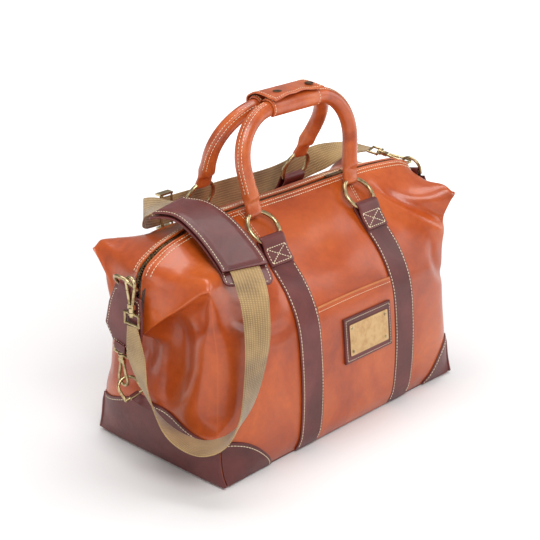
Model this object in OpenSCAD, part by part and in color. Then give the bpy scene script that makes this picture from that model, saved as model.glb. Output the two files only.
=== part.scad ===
/* [Body] */
// Distance from the middle of the straps to the fuller left end
left_half = 230; // [222:1:238]
// Distance from the middle of the straps to the slacker right end
right_half = 203; // [198:1:210]
// Extra height of the nose at the slacker right end
right_lift = 24; // [16:1:28]
// Half depth of the bag where the front panel bulges most
half_depth = 118; // [114:1:122]
// Height of the zip above the floor
zip_height = 284; // [280:1:288]
// Height of the four upper corners
ear_height = 247; // [243:1:251]
// Thickness of the body leather
leather = 2; // [1.6:0.1:2.2]

/* [Straps and pocket] */
// Distance from the middle of the bag to each strap's centre line
strap_x = 87; // [84:1:90]
// Width of the leather straps and of the shoulder webbing
strap_w = 38; // [34:1:40]
// Thickness of the leather straps
strap_t = 2.4; // [2:0.1:2.6]
// Share of the panel's height that the front pocket covers
pocket_share = 0.53; // [0.48:0.01:0.56]

/* [Handles] */
// Diameter of a rolled handle
handle_d = 19; // [17:0.5:19]
// Length of a handle from its ring to the middle of its top
handle_rise = 116; // [112:0.5:120]
// Bend radius of a handle's upper corners
handle_bend = 56; // [50:1:60]
// Diameter of the handle rings, measured at the middle of the wire
ring_d = 44; // [43:0.5:45]
// Diameter of the ring wire
wire_d = 5.5; // [5:0.1:5.6]
// Length of the wrap that joins the handles
wrap_l = 84; // [80:1:100]

/* [Hardware] */
// Diameter of the wire in the end rings
end_wire = 4; // [3.6:0.1:4.2]
// Inside width of the end rings
end_ring_w = 26; // [24:0.5:27]
// Width of the zip chain
chain_w = 5.6; // [5:0.1:5.8]
// Width of the shoulder pad
pad_w = 58; // [54:1:62]

/* [Hidden] */

tan_leather = [0.82, 0.36, 0.14];
dark_leather = [0.40, 0.15, 0.15];
old_brass = [0.78, 0.66, 0.42];
khaki = [0.70, 0.58, 0.38];

// The body is one smooth skin. Station lists run from the base seam up to the zip.
// Half depth and height of the skin half way between the straps, in front and behind
front_line = [[106, 3], [half_depth - 3, 24], [half_depth, 70], [half_depth - 2, 118],
    [half_depth - 9, 166], [90, 203], [60, ear_height - 13], [31, zip_height - 21],
    [5.5, zip_height]];
back_line = [[106, 3], [half_depth - 3, 24], [half_depth + 1, 70], [half_depth + 1, 118],
    [half_depth - 1, 166], [half_depth - 7, 206], [93, ear_height - 9], [52, zip_height - 17],
    [5.5, zip_height]];
// Drop from the zip to the lower end of the nose that the end tab covers
nose_drop = 112;
// Position of the skin along the left vertical corner, the ear and the fold under the zip's end
corner_line = [[-4, 109, 3], [-3, 102, 24], [-5, 97, 70], [-9, 94, 118], [-9, 93, 166],
    [-1, 95, 208], [7, 97, ear_height], [17, 50, ear_height - 36], [26, 5.5, zip_height - nose_drop]];
// The zip's line from the middle to the nose at the end: share of the half length, height
zip_line = [[0, 0], [64, 0.5], [128, -0.5], [185, -8], [226, -20], [251, -44], [256, -nose_drop]];
zip_share = [0, 0.25, 0.5, 0.7, 0.85, 0.94, 1];
slack = left_half - right_half;

// Curve through a list of points, at position q counted in points
function through(p, q) =
    let (n = len(p) - 1, i = min(floor(q), n - 1), f = q - i,
         a = p[max(i - 1, 0)], b = p[i], c = p[i + 1], d = p[min(i + 2, n)])
    (2 * b + (c - a) * f + (2 * a - 5 * b + 4 * c - d) * f * f
        + (3 * b - a - 3 * c + d) * f * f * f) / 2;
function along(p, t) = through(p, min(max(t, 0), 1) * (len(p) - 1));
function ease(x) = let (c = min(max(x, 0), 1)) c * c * (3 - 2 * c);
function mix(a, b, w) = a + (b - a) * w;
function unit(v) = v / max(norm(v), 1e-6);
function spread(a, b, n) = [for (i = [0:n]) mix(a, b, i / n)];

// Point of the skin: s runs from the left end -1 to the right end 1, t from base 0 to zip 1.
// Both halves are drawn facing -Y; the back half is then mirrored.
function end_shift(s, share) = s > 0 ? slack * share ^ 4 : 0;
function corner_at(s, t) = let (c = along(corner_line, t))
    [left_half + c[0] - end_shift(s, 1), c[1], c[2]];
function zip_at(s) =
    let (a = abs(s), i = max([for (k = [0:len(zip_share) - 2]) a >= zip_share[k] ? k : 0]),
         z = through(zip_line, i + (a - zip_share[i]) / (zip_share[i + 1] - zip_share[i])))
    [z[0] - end_shift(s, a), 5.5, zip_height + z[1] + (s > 0 ? right_lift * a ^ 4 : 0)];
function blend_at(s, t, line) =
    let (a = abs(s), m = along(line, t), c = corner_at(s, t),
         p = 7 - 2.5 * ease(t / 0.8))
    [a * left_half + (c[0] - left_half) * a ^ 4, mix(m[0], c[1], a ^ p), mix(m[1], c[2], a ^ p)];
function skin(s, t, line = front_line) =
    let (b = blend_at(s, t, line), r = b + t ^ 5 * (zip_at(s) - blend_at(s, 1, line)))
    [sign(s) * r[0], -r[1], r[2]];
function skin_normal(s, t, line, h = 0.004) =
    unit(cross(skin(min(s + h, 1), t, line) - skin(max(s - h, -1), t, line),
               skin(s, min(t + h, 1), line) - skin(s, max(t - h, 0), line)));
function skin_off(s, t, o, line = front_line) = skin(s, t, line) + o * skin_normal(s, t, line);

// Point of an end face, drawn at the left end for either side: v runs across from front -1 to
// back 1, t from the base 0 to the fold 1
fold_share = 0.75;
end_line = [[-2, 3], [5, 26], [9, 55], [7, 84], [-3, 110], [-10, 132], [-4, 152],
    [26, zip_height - nose_drop]];
function corner_skin(side, t) = let (p = skin(side, t)) side < 0 ? p : [-p[0] - slack, p[1], p[2]];
function end_raw(side, v, t) =
    let (a = abs(v), c = along(end_line, t), k = corner_skin(side, t * fold_share),
         q = mix(4, 1.5, t ^ 2))
    [mix(-left_half - c[0], k[0], a ^ q), v * abs(k[1]), mix(c[1], k[2], a ^ q)];
function end_face(side, v, t) =
    let (top = corner_skin(side, mix(1, fold_share, abs(v))), raw = end_raw(side, v, 1),
         goal = [top[0], sign(v) * abs(top[1]), top[2]])
    end_raw(side, v, t) + t ^ 6 * (goal - raw);
function end_normal(side, v, t, h = 0.004) =
    unit(cross(end_face(side, v, min(t + h, 1)) - end_face(side, v, max(t - h, 0)),
               end_face(side, min(v + h, 1), t) - end_face(side, max(v - h, -1), t)));
function end_off(side, v, t, o) = end_face(side, v, t) + o * end_normal(side, v, t);

// Closed slab between two grids of points with the same layout
module slab(outer, inner) {
    rows = len(outer);
    cols = len(outer[0]);
    n = rows * cols;
    points = concat([for (r = outer) each r], [for (r = inner) each r]);
    cells = [for (i = [0:rows - 2], j = [0:cols - 2]) i * cols + j];
    skin_out = [for (c = cells) each [[c, c + cols, c + cols + 1], [c, c + cols + 1, c + 1]]];
    skin_in = [for (c = cells) each [[n + c, n + c + cols + 1, n + c + cols],
                                     [n + c, n + c + 1, n + c + cols + 1]]];
    rim = concat([for (j = [0:cols - 1]) j], [for (i = [1:rows - 1]) i * cols + cols - 1],
                 [for (j = [cols - 2:-1:0]) (rows - 1) * cols + j],
                 [for (i = [rows - 2:-1:1]) i * cols]);
    m = len(rim);
    edge = [for (k = [0:m - 1]) let (a = rim[k], b = rim[(k + 1) % m])
            each [[a, b, n + b], [a, n + b, n + a]]];
    polyhedron(points, concat(skin_out, skin_in, edge), convexity = 10);
}
module skin_slab(ss, tt, o1, o2, line = front_line)
    slab([for (t = tt) [for (s = ss) skin_off(s, t, o2, line)]],
         [for (t = tt) [for (s = ss) skin_off(s, t, o1, line)]]);
module behind() mirror([0, 1, 0]) children();
module end_slab(side, vv, tt, o1, o2)
    slab([for (t = tt) [for (v = vv) end_off(side, -v, t, o2)]],
         [for (t = tt) [for (v = vv) end_off(side, -v, t, o1)]]);
module at_right_end() translate([-slack, 0, 0]) mirror([1, 0, 0]) children();
module turned_to_right_end() translate([-slack, 0, 0]) rotate([0, 0, 180]) children();

edge_s = 0.985;
right_edge_s = 0.97;
corner_steps = [edge_s, 0.965, 0.94, 0.91, 0.87, 0.82, 0.75, 0.66];
function right_s(s) = min(s, right_edge_s);
panel_s = concat([for (s = corner_steps) -s], [-0.56, -0.46, -0.36, -0.2, 0, 0.2, 0.36, 0.46, 0.56],
                 [for (i = [len(corner_steps) - 1:-1:0]) right_s(corner_steps[i])]);
low_t = [0, 0.03, 0.06, 0.09, 0.125];
panel_t = concat(low_t, [0.19, 0.25, 0.32, 0.39, 0.46, 0.53, 0.59, 0.64, 0.69, 0.74, 0.79,
                         0.84, 0.89, 0.94, 0.99]);
module front_panel() color(tan_leather) skin_slab(panel_s, panel_t, -leather, 0);
module back_panel() color(tan_leather) behind() skin_slab(panel_s, panel_t, -leather, 0, back_line);

gusset_v = concat([-0.97, -0.93, -0.86, -0.76], spread(-0.62, 0.62, 8), [0.76, 0.86, 0.93, 0.97]);
gusset_t = concat([0, 0.05, 0.1], spread(0.18, 0.97, 12));
module left_gusset() color(tan_leather) end_slab(-1, gusset_v, gusset_t, -leather, 0);
module right_gusset() color(tan_leather) at_right_end() end_slab(1, gusset_v, gusset_t, -leather, 0);

base_t = 2.4;
base_mid_x = (right_half - left_half) / 2;
base_l = left_half + right_half - 10;
base_w = 208;
module rounded_plate(l, w, r, h)
    linear_extrude(h) union() {
        square([l - 2 * r, w], center = true);
        square([l, w - 2 * r], center = true);
        for (x = [-1, 1], y = [-1, 1]) translate([x * (l / 2 - r), y * (w / 2 - r)]) circle(r, $fn = 48);
    }
module base_panel() color(dark_leather) translate([base_mid_x, 0, 0]) rounded_plate(base_l, base_w, 16,
    base_t);
module base_board() color([0.35, 0.28, 0.2]) translate([base_mid_x, 0, base_t + 1.8])
    rounded_plate(base_l - 40, base_w - 22, 12, 3);

lining_gap = 3;
lining_t = 0.7;
lining_s = spread(-0.94, 0.94, 14);
lining_rows = concat([0.06], spread(0.12, 0.93, 12));
module lining() color([0.45, 0.36, 0.25]) {
    lining_half(front_line);
    behind() lining_half(back_line);
    lining_end(-1);
    at_right_end() lining_end(1);
    translate([base_mid_x, 0, base_t + 5.4]) rounded_plate(base_l - 44, base_w - 26, 12, lining_t);
}
module lining_half(line) skin_slab(lining_s, lining_rows, -leather - lining_gap - lining_t,
                                   -leather - lining_gap, line);
module lining_end(side) end_slab(side, spread(-0.86, 0.86, 8), concat([0.07], spread(0.12, 0.9, 8)),
                             -leather - lining_gap - lining_t - 1, -leather - lining_gap - 1);

// Brown end caps: the upper edge is highest in the middle and rounded off at the corners
patch_gap = 1.1;
patch_t = 1.8;
cap_t = 0.40;
cap_corner_t = 0.27;
function cap_top(v) = mix(cap_t, cap_corner_t, ease((abs(v) - 0.1) / 0.9));
module end_cap(side) slab(
    [for (k = spread(0, 1, 8)) [for (v = gusset_v) end_off(side, -v, k * cap_top(v), patch_gap + patch_t)]],
    [for (k = spread(0, 1, 8)) [for (v = gusset_v) end_off(side, -v, k * cap_top(v), patch_gap)]]);
module left_end_cap() color(dark_leather) end_cap(-1);
module right_end_cap() color(dark_leather) at_right_end() end_cap(1);

// Corner patches: a quarter oval that starts at the vertical corner
corner_gap = 2.2;
patch_reach = 0.345;
patch_rise = 0.235;
patch_columns = [for (s = corner_steps) if (1 - s < patch_reach) s];
function patch_top(s) = patch_rise * sqrt(max(1 - ((1 - s) / patch_reach) ^ 2, 0.0));
module corner_patch(side, line) {
    ss = side < 0 ? [for (s = patch_columns) -s]
                  : [for (i = [len(patch_columns) - 1:-1:0]) right_s(patch_columns[i])];
    slab([for (k = spread(0, 1, 5)) [for (s = ss) skin_off(s, k * patch_top(abs(s)),
        corner_gap + patch_t, line)]],
         [for (k = spread(0, 1, 5)) [for (s = ss) skin_off(s, k * patch_top(abs(s)), corner_gap, line)]]);
}
module front_corner_patches() color(dark_leather) for (side = [-1, 1]) corner_patch(side, front_line);
module back_corner_patches() color(dark_leather) behind() for (side = [-1, 1]) corner_patch(side,
    back_line);

// Round cord or wire through a list of points
module cord(path, r, sides = 8) {
    n = len(path) - 1;
    rings = [for (i = [0:n])
        let (d = unit(path[min(i + 1, n)] - path[max(i - 1, 0)]),
             u = unit(cross(d, abs(d[2]) > 0.8 ? [1, 0, 0] : [0, 0, 1])), w = cross(d, u))
        [for (k = [0:sides - 1]) path[i] + r * (u * cos(360 * k / sides) + w * sin(360 * k / sides))]];
    points = [for (g = rings) each g];
    side_faces = [for (i = [0:n - 1], k = [0:sides - 1])
        let (a = i * sides + k, b = i * sides + (k + 1) % sides)
        each [[a, a + sides, b + sides], [a, b + sides, b]]];
    caps = [[for (k = [0:sides - 1]) k], [for (k = [sides - 1:-1:0]) n * sides + k]];
    polyhedron(points, concat(side_faces, caps), convexity = 6);
}
piping_r = 1.2;
function piping_path(side) = [for (t = spread(0.01, 0.74, 18)) skin(side, t) + [side * 0.7, -0.9, 0]];
module corner_piping() color(dark_leather) for (side = [-1, 1]) {
    cord(piping_path(side), piping_r, 6);
    behind() cord(piping_path(side), piping_r, 6);
}

// Straps: a flat strip up the panel, a loop for the ring, and a short strip sewn back down.
// Each is drawn from the side, half depth against height, and given its width along X.
strap_s = strap_x / left_half;
strap_gap = 1.2;
outer_o = strap_gap + strap_t;
fold_o = outer_o + 0.3;
function strap_point(t, o, line) = let (p = skin_off(-strap_s, t, o, line)) [-p[1], p[2]];
// Height share and seat of each ring's lower end, and the ring's slope towards the zip
ring_seat = 6.6;
front_low = strap_point(0.8, ring_seat, front_line);
back_low = strap_point(0.81, ring_seat, back_line);
front_ring_tilt = 45;
back_ring_tilt = 70;
function ring_reach(low, tilt) = low + ring_d * [-cos(tilt), sin(tilt)];
front_top = ring_reach(front_low, front_ring_tilt);
back_top = ring_reach(back_low, back_ring_tilt);
loop_r = wire_d / 2 + 1.45;
loop_t = 1.9;
loop_w = 14;
module strip_profile(t0, t1, o1, o2, n, line)
    polygon(concat([for (t = spread(t0, t1, n)) strap_point(t, o1, line)],
                   [for (t = spread(t1, t0, n)) strap_point(t, o2, line)]));
module from_side(w) rotate([90, 0, 90]) translate([0, 0, -w / 2]) linear_extrude(w) children();
module strap_strip(line, strap_end) {
    from_side(strap_w) mirror([1, 0]) strip_profile(0.012, strap_end, strap_gap, outer_o, 20, line);
    from_side(strap_w) mirror([1, 0]) strip_profile(strap_end - 0.065, strap_end - 0.02, fold_o,
        fold_o + strap_t, 3, line);
}
module ring_loop(low) translate([0, -low[0], low[1]]) rotate([0, 90, 0])
    difference() {
        cylinder(h = loop_w, r = loop_r + loop_t, center = true, $fn = 48);
        cylinder(h = loop_w + 2, r = loop_r, center = true, $fn = 48);
    }
front_strap_end = 0.785;
back_strap_end = 0.795;
module strap(x) translate([x, 0, 0]) {
    strap_strip(front_line, front_strap_end);
    ring_loop(front_low);
    behind() strap_strip(back_line, back_strap_end);
    behind() ring_loop(back_low);
}
module left_strap() color(dark_leather) strap(-strap_x);
module right_strap() color(dark_leather) strap(strap_x);

// Front pocket between the straps, its bound edge, and the plate on its patch
pocket_s = (strap_x - strap_w / 2 - 1) / left_half;
pocket_gap = 0.4;
pocket_t = 1.6;
pocket_columns = spread(-pocket_s, pocket_s, 4);
pocket_rows = [for (t = panel_t) if (t > 0.02 && t <= pocket_share + 0.001) t];
module front_pocket() color(tan_leather) skin_slab(pocket_columns, pocket_rows, pocket_gap,
    pocket_gap + pocket_t);
pocket_top = pocket_rows[len(pocket_rows) - 1];
module pocket_binding() color([0.86, 0.52, 0.28])
    cord([for (s = pocket_columns) skin_off(s, pocket_top + 0.008, 1.7)], 1.2, 8);

plate_x = 13;
plate_z = 124.5;
patch_size = [88, 58];
plate_size = [72, 40];
plate_corner_r = 3;
face_low = strap_point(0.34, pocket_gap + pocket_t, front_line);
face_high = strap_point(0.46, pocket_gap + pocket_t, front_line);
face_tilt = atan2(face_low[0] - face_high[0], face_high[1] - face_low[1]);
face_y = half_depth + 1.1;
module on_pocket(o) translate([plate_x, -face_y - o, plate_z]) rotate([90 - face_tilt, 0, 0]) children();
module rivet_places() for (x = [-1, 1], y = [-1, 1])
    translate([x * (plate_size[0] / 2 - 5), y * (plate_size[1] / 2 - 5), 0]) children();
patch_out = 1.6;
module plate_patch() color(dark_leather) on_pocket(0) rounded_plate(patch_size[0], patch_size[1],
    plate_corner_r, patch_out);
module name_plate() color(old_brass) on_pocket(patch_out + 0.05) difference() {
    rounded_plate(plate_size[0], plate_size[1], 2, 1);
    rivet_places() translate([0, 0, -1]) cylinder(h = 4, r = 1.3, $fn = 32);
}
module plate_rivets() color(old_brass) on_pocket(patch_out + 0.1) rivet_places() {
    cylinder(h = 1, r = 1.2, $fn = 32);
    translate([0, 0, 1]) intersection() {
        translate([0, 0, -2.1]) sphere(r = 3.2, $fn = 48);
        cylinder(h = 2, r = 2.4, $fn = 32);
    }
}

// Zip: two tapes, a chain of teeth, stops at both ends, and a slider with its pull
tape_t = 0.8;
tape_w = 11;
tape_drop = 3.4;
tape_sag = 8;
zip_s = spread(-0.86, 0.86, 28);
function zip_point(s, y, drop) = let (z = skin(s, 1)) [z[0], y, z[2] - drop];
// Strip along the zip; its edge at y0 hangs by sag below the edge at y1
module zip_strip(ss, y0, y1, top, thick, sag = 0)
    slab([[for (s = ss) zip_point(s, y0, top + sag)], [for (s = ss) zip_point(s, y1, top)]],
         [[for (s = ss) zip_point(s, y0, top + thick + sag)], [for (s = ss) zip_point(s, y1,
             top + thick)]]);
module zip_tape() zip_strip(zip_s, -tape_w, -chain_w / 2 - 0.1, tape_drop, tape_t, tape_sag);
module zip_tapes() color([0.28, 0.17, 0.12]) {
    zip_tape();
    behind() zip_tape();
}
module zip_chain() color(old_brass)
    zip_strip([for (s = zip_s) s * 0.985], -chain_w / 2, chain_w / 2, tape_drop - 0.6, 2);
stop_s = 0.862;
module zip_stops() color(old_brass) for (s = [-stop_s, stop_s])
    let (p = zip_point(s, 0, tape_drop - 0.9))
    translate(p + [0, 0, 1.2]) rotate([0, s * 48, 0]) cube([4, chain_w + 2, 1.4], center = true);

slider_x = 96;
slider_l = 13;
slider_w = 9.4;
slider_z = zip_height - tape_drop + 1.75;
pin_r = 0.9;
module zip_slider() color(old_brass) translate([slider_x, 0, slider_z]) {
    linear_extrude(1.6) union() {
        square([slider_l - 4, slider_w], center = true);
        for (x = [-1, 1]) translate([x * (slider_l / 2 - 3), 0]) circle(r = 3.2, $fn = 40);
    }
    for (y = [-1, 1]) translate([0, y * 2.2, 0]) difference() {
        union() {
            translate([-2.2, -0.6, 1]) cube([4.4, 1.2, 2.6]);
            translate([0, 0.6, 3.6]) rotate([90, 0, 0]) cylinder(h = 1.2, r = 2.2, $fn = 40);
        }
        translate([0, 2, 3.6]) rotate([90, 0, 0]) cylinder(h = 4, r = pin_r, $fn = 32);
    }
}
pull_l = 26;
module zip_pull() color(old_brass) translate([slider_x, 0, slider_z + 3.6]) {
    rotate([90, 0, 0]) cylinder(h = 5.4, r = pin_r - 0.06, center = true, $fn = 32);
    difference() {
        union() {
            translate([-4 - pull_l, -3, -0.7]) cube([pull_l, 6, 1.4]);
            translate([-5, -1.4, -0.7]) cube([5, 2.8, 1.4]);
        }
        translate([-pull_l, 0, -2]) cylinder(h = 4, r = 1.6, $fn = 32);
    }
}

// End tab: a six sided patch sewn over the nose, slanting back towards its lower end, with a
// fold at its top for the ring and a tongue at its lower end for the clip. The right end's
// tab sits higher by tab_lift.
nose_x = -left_half - 26;
tab_x = nose_x - 4.4;
tab_y = 7;
tab_t = 2.2;
tab_top = 224;
tab_slant = 12;
tab_lift = 26;
tab_outline = [[-14, -72], [14, -72], [31, -56], [29, -26], [22, 0], [-22, 0], [-29, -26], [-31, -56]];
ring_bar_z = tab_top + 7;
loop_l = end_ring_w - 8;
tongue_drop = 77;
tongue_y = tab_y + tongue_drop * sin(tab_slant);
tongue_z = tab_top - tongue_drop * cos(tab_slant);
tongue_tilt = 7.5;
tongue_l = 17;
eye_fit = 0.1;
module bar_sleeve(r1, r2, l) rotate([90, 0, 0]) difference() {
    cylinder(h = l, r = r2, center = true, $fn = 48);
    cylinder(h = l + 2, r = r1, center = true, $fn = 48);
}
module on_tab(y, z) translate([tab_x - tab_t / 2, y, z]) children();
module on_tongue() on_tab(tongue_y, tongue_z) rotate([tongue_tilt, 0, 0]) children();
module end_tab() {
    on_tab(tab_y, tab_top) rotate([tab_slant, 0, 0]) rotate([90, 0, 90])
        translate([0, 0, -tab_t / 2]) linear_extrude(tab_t) polygon(tab_outline);
    on_tab(tab_y, ring_bar_z) bar_sleeve(end_wire / 2 + 0.3, end_wire / 2 + 2.2, loop_l);
    on_tab(tab_y, tab_top - 6) translate([-tab_t / 2, -loop_l / 2, 0]) cube([tab_t, loop_l, 9.6]);
    on_tongue() bar_sleeve(eye_r + eye_fit, eye_r + 2, tongue_l);
    on_tongue() translate([-tab_t / 2, -tongue_l / 2, eye_r + 0.4]) cube([tab_t, tongue_l, 7]);
}
module left_end_tab() color(dark_leather) end_tab();
module right_end_tab() color(dark_leather) turned_to_right_end() raised() end_tab();
module raised() translate([0, 0, tab_lift]) children();

// Ring with one straight bar, lying in the Y Z plane; the bar's middle is the origin
module d_ring(w, wire, side_l) {
    r = w / 2 + wire / 2;
    rotate([90, 0, 0]) cylinder(h = 2 * r, r = wire / 2, center = true, $fn = 32);
    for (y = [-1, 1]) {
        translate([0, y * r, 0]) sphere(r = wire / 2, $fn = 32);
        translate([0, y * r, 0]) cylinder(h = side_l, r = wire / 2, $fn = 32);
    }
    translate([0, 0, side_l]) rotate([90, 0, 90]) rotate_extrude(angle = 180, $fn = 64)
        translate([r, 0]) circle(r = wire / 2, $fn = 24);
}
left_ring_lean = 38;
right_ring_lean = -18;
module tab_ring(ring_lean) on_tab(tab_y, ring_bar_z) rotate([0, -ring_lean, 0]) d_ring(end_ring_w,
    end_wire, 5);
module left_tab_ring() color(old_brass) tab_ring(left_ring_lean);
module right_tab_ring() color(old_brass) turned_to_right_end() raised() tab_ring(right_ring_lean);

// Snap hooks: the eye's bar is the origin and the swivel stands above it along +Z. The hook
// and its gate are drawn from the swivel; all lie in the Y Z plane.
eye_r = 1.6;
eye_w = 20;
strap_eye_h = 13;
clip_eye_h = 7.8;
post_h = 6;
hook_l = 38;
hook_r = 7.3;
hook_wire = 3.8;
side_y = 1.8;
gate_y = 2.6;
gate_pin_z = post_h + 3;
hook_top_z = post_h + hook_l - hook_r;
swivel_r = 1.7;
module hook_eye(h) {
    for (y = [-1, 1]) translate([0, y * (eye_w / 2 + eye_r), -eye_r]) cylinder(h = h + eye_r,
        r = eye_r, $fn = 24);
    rotate([90, 0, 0]) cylinder(h = eye_w + 2 * eye_r, r = eye_r, center = true, $fn = 32);
    difference() {
        union() {
            translate([0, 0, h]) rotate([90, 0, 0]) cylinder(h = eye_w + 4 * eye_r, r = eye_r,
                center = true, $fn = 32);
            translate([0, 0, h - 1.2]) cylinder(h = 3, r = 4, $fn = 40);
        }
        translate([0, 0, h - 3]) cylinder(h = 6, r = swivel_r + 0.06, $fn = 40);
    }
}
// The straight sides leave the neck and run tangent into the round top
neck_reach = norm([side_y, hook_top_z - gate_pin_z]);
side_angle = asin(hook_r / neck_reach) - atan2(side_y, hook_top_z - gate_pin_z);
side_l = sqrt(neck_reach ^ 2 - hook_r ^ 2);
// The sides are a hair thinner than the round top and run this far into it
side_r = hook_wire / 2 - 0.05;
side_into = 0.5;
gate_from = 3;
gate_to = side_l - 8;
module hook_side(y, from, to) translate([0, y * side_y, gate_pin_z]) rotate([-y * side_angle, 0, 0])
    translate([0, 0, from]) cylinder(h = to - from, r = side_r, $fn = 24);
module hook_frame() {
    translate([0, 0, -3.6]) cylinder(h = 1.9, r = 2.8, $fn = 32);
    translate([0, 0, -1.8]) cylinder(h = 4.2, r = swivel_r, $fn = 40);
    translate([0, 0, 2.1]) cylinder(h = post_h - 1, r = 3.2, $fn = 40);
    difference() {
        translate([-1.9, -4.8, post_h]) cube([3.8, 9.6, 5.4]);
        translate([0, gate_y, gate_pin_z]) rotate([0, 90, 0]) cylinder(h = 8, r = 1.05, center = true,
            $fn = 32);
        translate([-1, 0.3, post_h + 1]) cube([2, 6, 6]);
    }
    hook_side(-1, 0, side_l + side_into);
    hook_side(1, gate_to + 0.5, side_l + side_into);
    translate([0, 0, hook_top_z]) rotate([90, 0, 90]) rotate([0, 0, -side_angle])
        rotate_extrude(angle = 180 + 2 * side_angle, $fn = 64)
            translate([hook_r, 0]) circle(r = hook_wire / 2, $fn = 24);
}
module hook_gate() {
    translate([0, gate_y, gate_pin_z]) rotate([0, 90, 0]) cylinder(h = 3.7, r = 1, center = true, $fn = 32);
    translate([-0.9, 1.4, gate_pin_z - 1]) cube([1.8, 2.4, 3]);
    hook_side(1, gate_from, gate_to);
}

// Places of the four snap hooks
left_eye = [-268, -5.5, 190];
right_eye = [214, 48.7, 279.7];
right_pan = -69.6;
right_pitch = 101.3;
module left_hook_place() translate(left_eye) children();
module right_hook_place() translate(right_eye) rotate([0, 0, right_pan]) rotate([0, right_pitch,
    0]) children();
clip_lean = 8;
module clip_place() on_tongue() rotate([0, 180 - clip_lean, 0]) children();
module right_clip_place() turned_to_right_end() raised() clip_place() children();
module above_strap_eye() translate([0, 0, strap_eye_h]) children();
module above_clip_eye() translate([0, 0, clip_eye_h]) children();

module left_strap_eye() color(old_brass) left_hook_place() hook_eye(strap_eye_h);
module left_strap_hook() color(old_brass) left_hook_place() above_strap_eye() hook_frame();
module left_strap_gate() color(old_brass) left_hook_place() above_strap_eye() hook_gate();
module right_strap_eye() color(old_brass) right_hook_place() hook_eye(strap_eye_h);
module right_strap_hook() color(old_brass) right_hook_place() above_strap_eye() hook_frame();
module right_strap_gate() color(old_brass) right_hook_place() above_strap_eye() hook_gate();
module left_clip_eye() color(old_brass) clip_place() hook_eye(clip_eye_h);
module left_clip_hook() color(old_brass) clip_place() above_clip_eye() hook_frame();
module left_clip_gate() color(old_brass) clip_place() above_clip_eye() hook_gate();
module right_clip_eye() color(old_brass) right_clip_place() hook_eye(clip_eye_h);
module right_clip_hook() color(old_brass) right_clip_place() above_clip_eye() hook_frame();
module right_clip_gate() color(old_brass) right_clip_place() above_clip_eye() hook_gate();

// Rings on the end caps, pulled towards the clips, and the leather chapes that hold them. A
// chape runs from its sleeve on the bar to its sewn end on the cap, twisting by base_turn.
base_ring_w = 20;
base_ring_side = 13;
base_turn = 60;
chape_l = 12;
chape_t = 1.8;
sleeve_r = end_wire / 2 + 1.9;
left_base_bar = [-255.5, 9.4, 91.1];
left_base_roll = 51;
right_base_bar = [-255.5, 22.8, 108];
right_base_roll = 12;
module on_base_bar(bar, roll) translate(bar) rotate([-roll, 0, 0]) rotate([0, 0, base_turn]) children();
module left_base_ring() color(old_brass) on_base_bar(left_base_bar, left_base_roll)
    d_ring(base_ring_w, end_wire, base_ring_side);
module right_base_ring() color(old_brass) turned_to_right_end() on_base_bar(right_base_bar, right_base_roll)
    d_ring(base_ring_w, end_wire, base_ring_side);
sewn_x = -244.6;
module base_chape(bar, roll) {
    on_base_bar(bar, roll) bar_sleeve(end_wire / 2 + 0.06, sleeve_r, chape_l);
    down = [0, -sin(roll), -cos(roll)];
    bar_dir = [-sin(base_turn), cos(base_turn) * cos(roll), -cos(base_turn) * sin(roll)];
    sewn_dir = [0, cos(roll), -sin(roll)];
    out = unit(cross(down, bar_dir));
    mid = [mix(bar[0], sewn_x, 0.6), 0, 0] + [0, bar[1], bar[2]] + down * 9;
    rows = [[bar + down * (sleeve_r + 0.1), bar_dir, out],
            [mid, unit(bar_dir + sewn_dir), unit(out + [-1, 0, 0])],
            [[sewn_x, bar[1], bar[2]] + down * 15, sewn_dir, [-1, 0, 0]],
            [[sewn_x, bar[1], bar[2]] + down * 24, sewn_dir, [-1, 0, 0]]];
    slab([for (r = rows) [for (k = [-0.5, 0.5]) r[0] + r[1] * k * chape_l + r[2] * chape_t / 2]],
         [for (r = rows) [for (k = [-0.5, 0.5]) r[0] + r[1] * k * chape_l - r[2] * chape_t / 2]]);
}
module base_ring_chapes() color(dark_leather) {
    base_chape(left_base_bar, left_base_roll);
    turned_to_right_end() base_chape(right_base_bar, right_base_roll);
}

// Shoulder strap: stations give a point and the direction across the webbing
web_t = 1.8;
strap_path = [
    [left_eye, [0, 1, 0]], [[-268, -10, 152], [0.1, 0.99, 0]], [[-266, -20, 114], [0.4, 0.92, 0]],
    [[-264, -43, 82], [0.54, 0.84, 0]], [[-260, -72, 65], [0.66, 0.75, 0]], [[-250, -102, 61], [0.72,
        0.69, 0]],
    [[-234, -124, 74], [0.82, 0.57, 0]], [[-217, -134, 104], [0.92, 0.38, 0]],
    [[-206, -137, 146], [0.99, 0.12, 0]], [[-200, -137, 190], [1, -0.1, 0]],
    [[-192, -125, 228], [0.97, -0.2, 0]], [[-172, -92, 250], [0.95, -0.25, 0.1]],
    [[-165, -62, 268], [0.97, -0.15, 0.12]], [[-163, -30, 286], [0.98, -0.05, 0.1]],
    [[-164, 2, 297], [1, 0.05, 0.05]], [[-167, 34, 295], [0.97, 0.2, 0.05]], [[-169, 64, 287], [0.84,
        0.5, 0.2]],
    [[-160, 92, 272], [0.4, 0.4, 0.8]], [[-130, 107, 261], [0, 0, 1]], [[-60, 108, 258], [0, 0, 1]],
    [[0, 108, 257], [0, 0, 1]], [[60, 110, 253], [0, 0, 1]], [[108, 111, 254], [0, 0.1, 0.98]],
    [[160, 108, 263], [0.2, 0.35, 0.9]], [[196, 88, 274], [0.75, 0.5, 0.4]], [right_eye, [0.937, 0.349,
        0]]];
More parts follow.
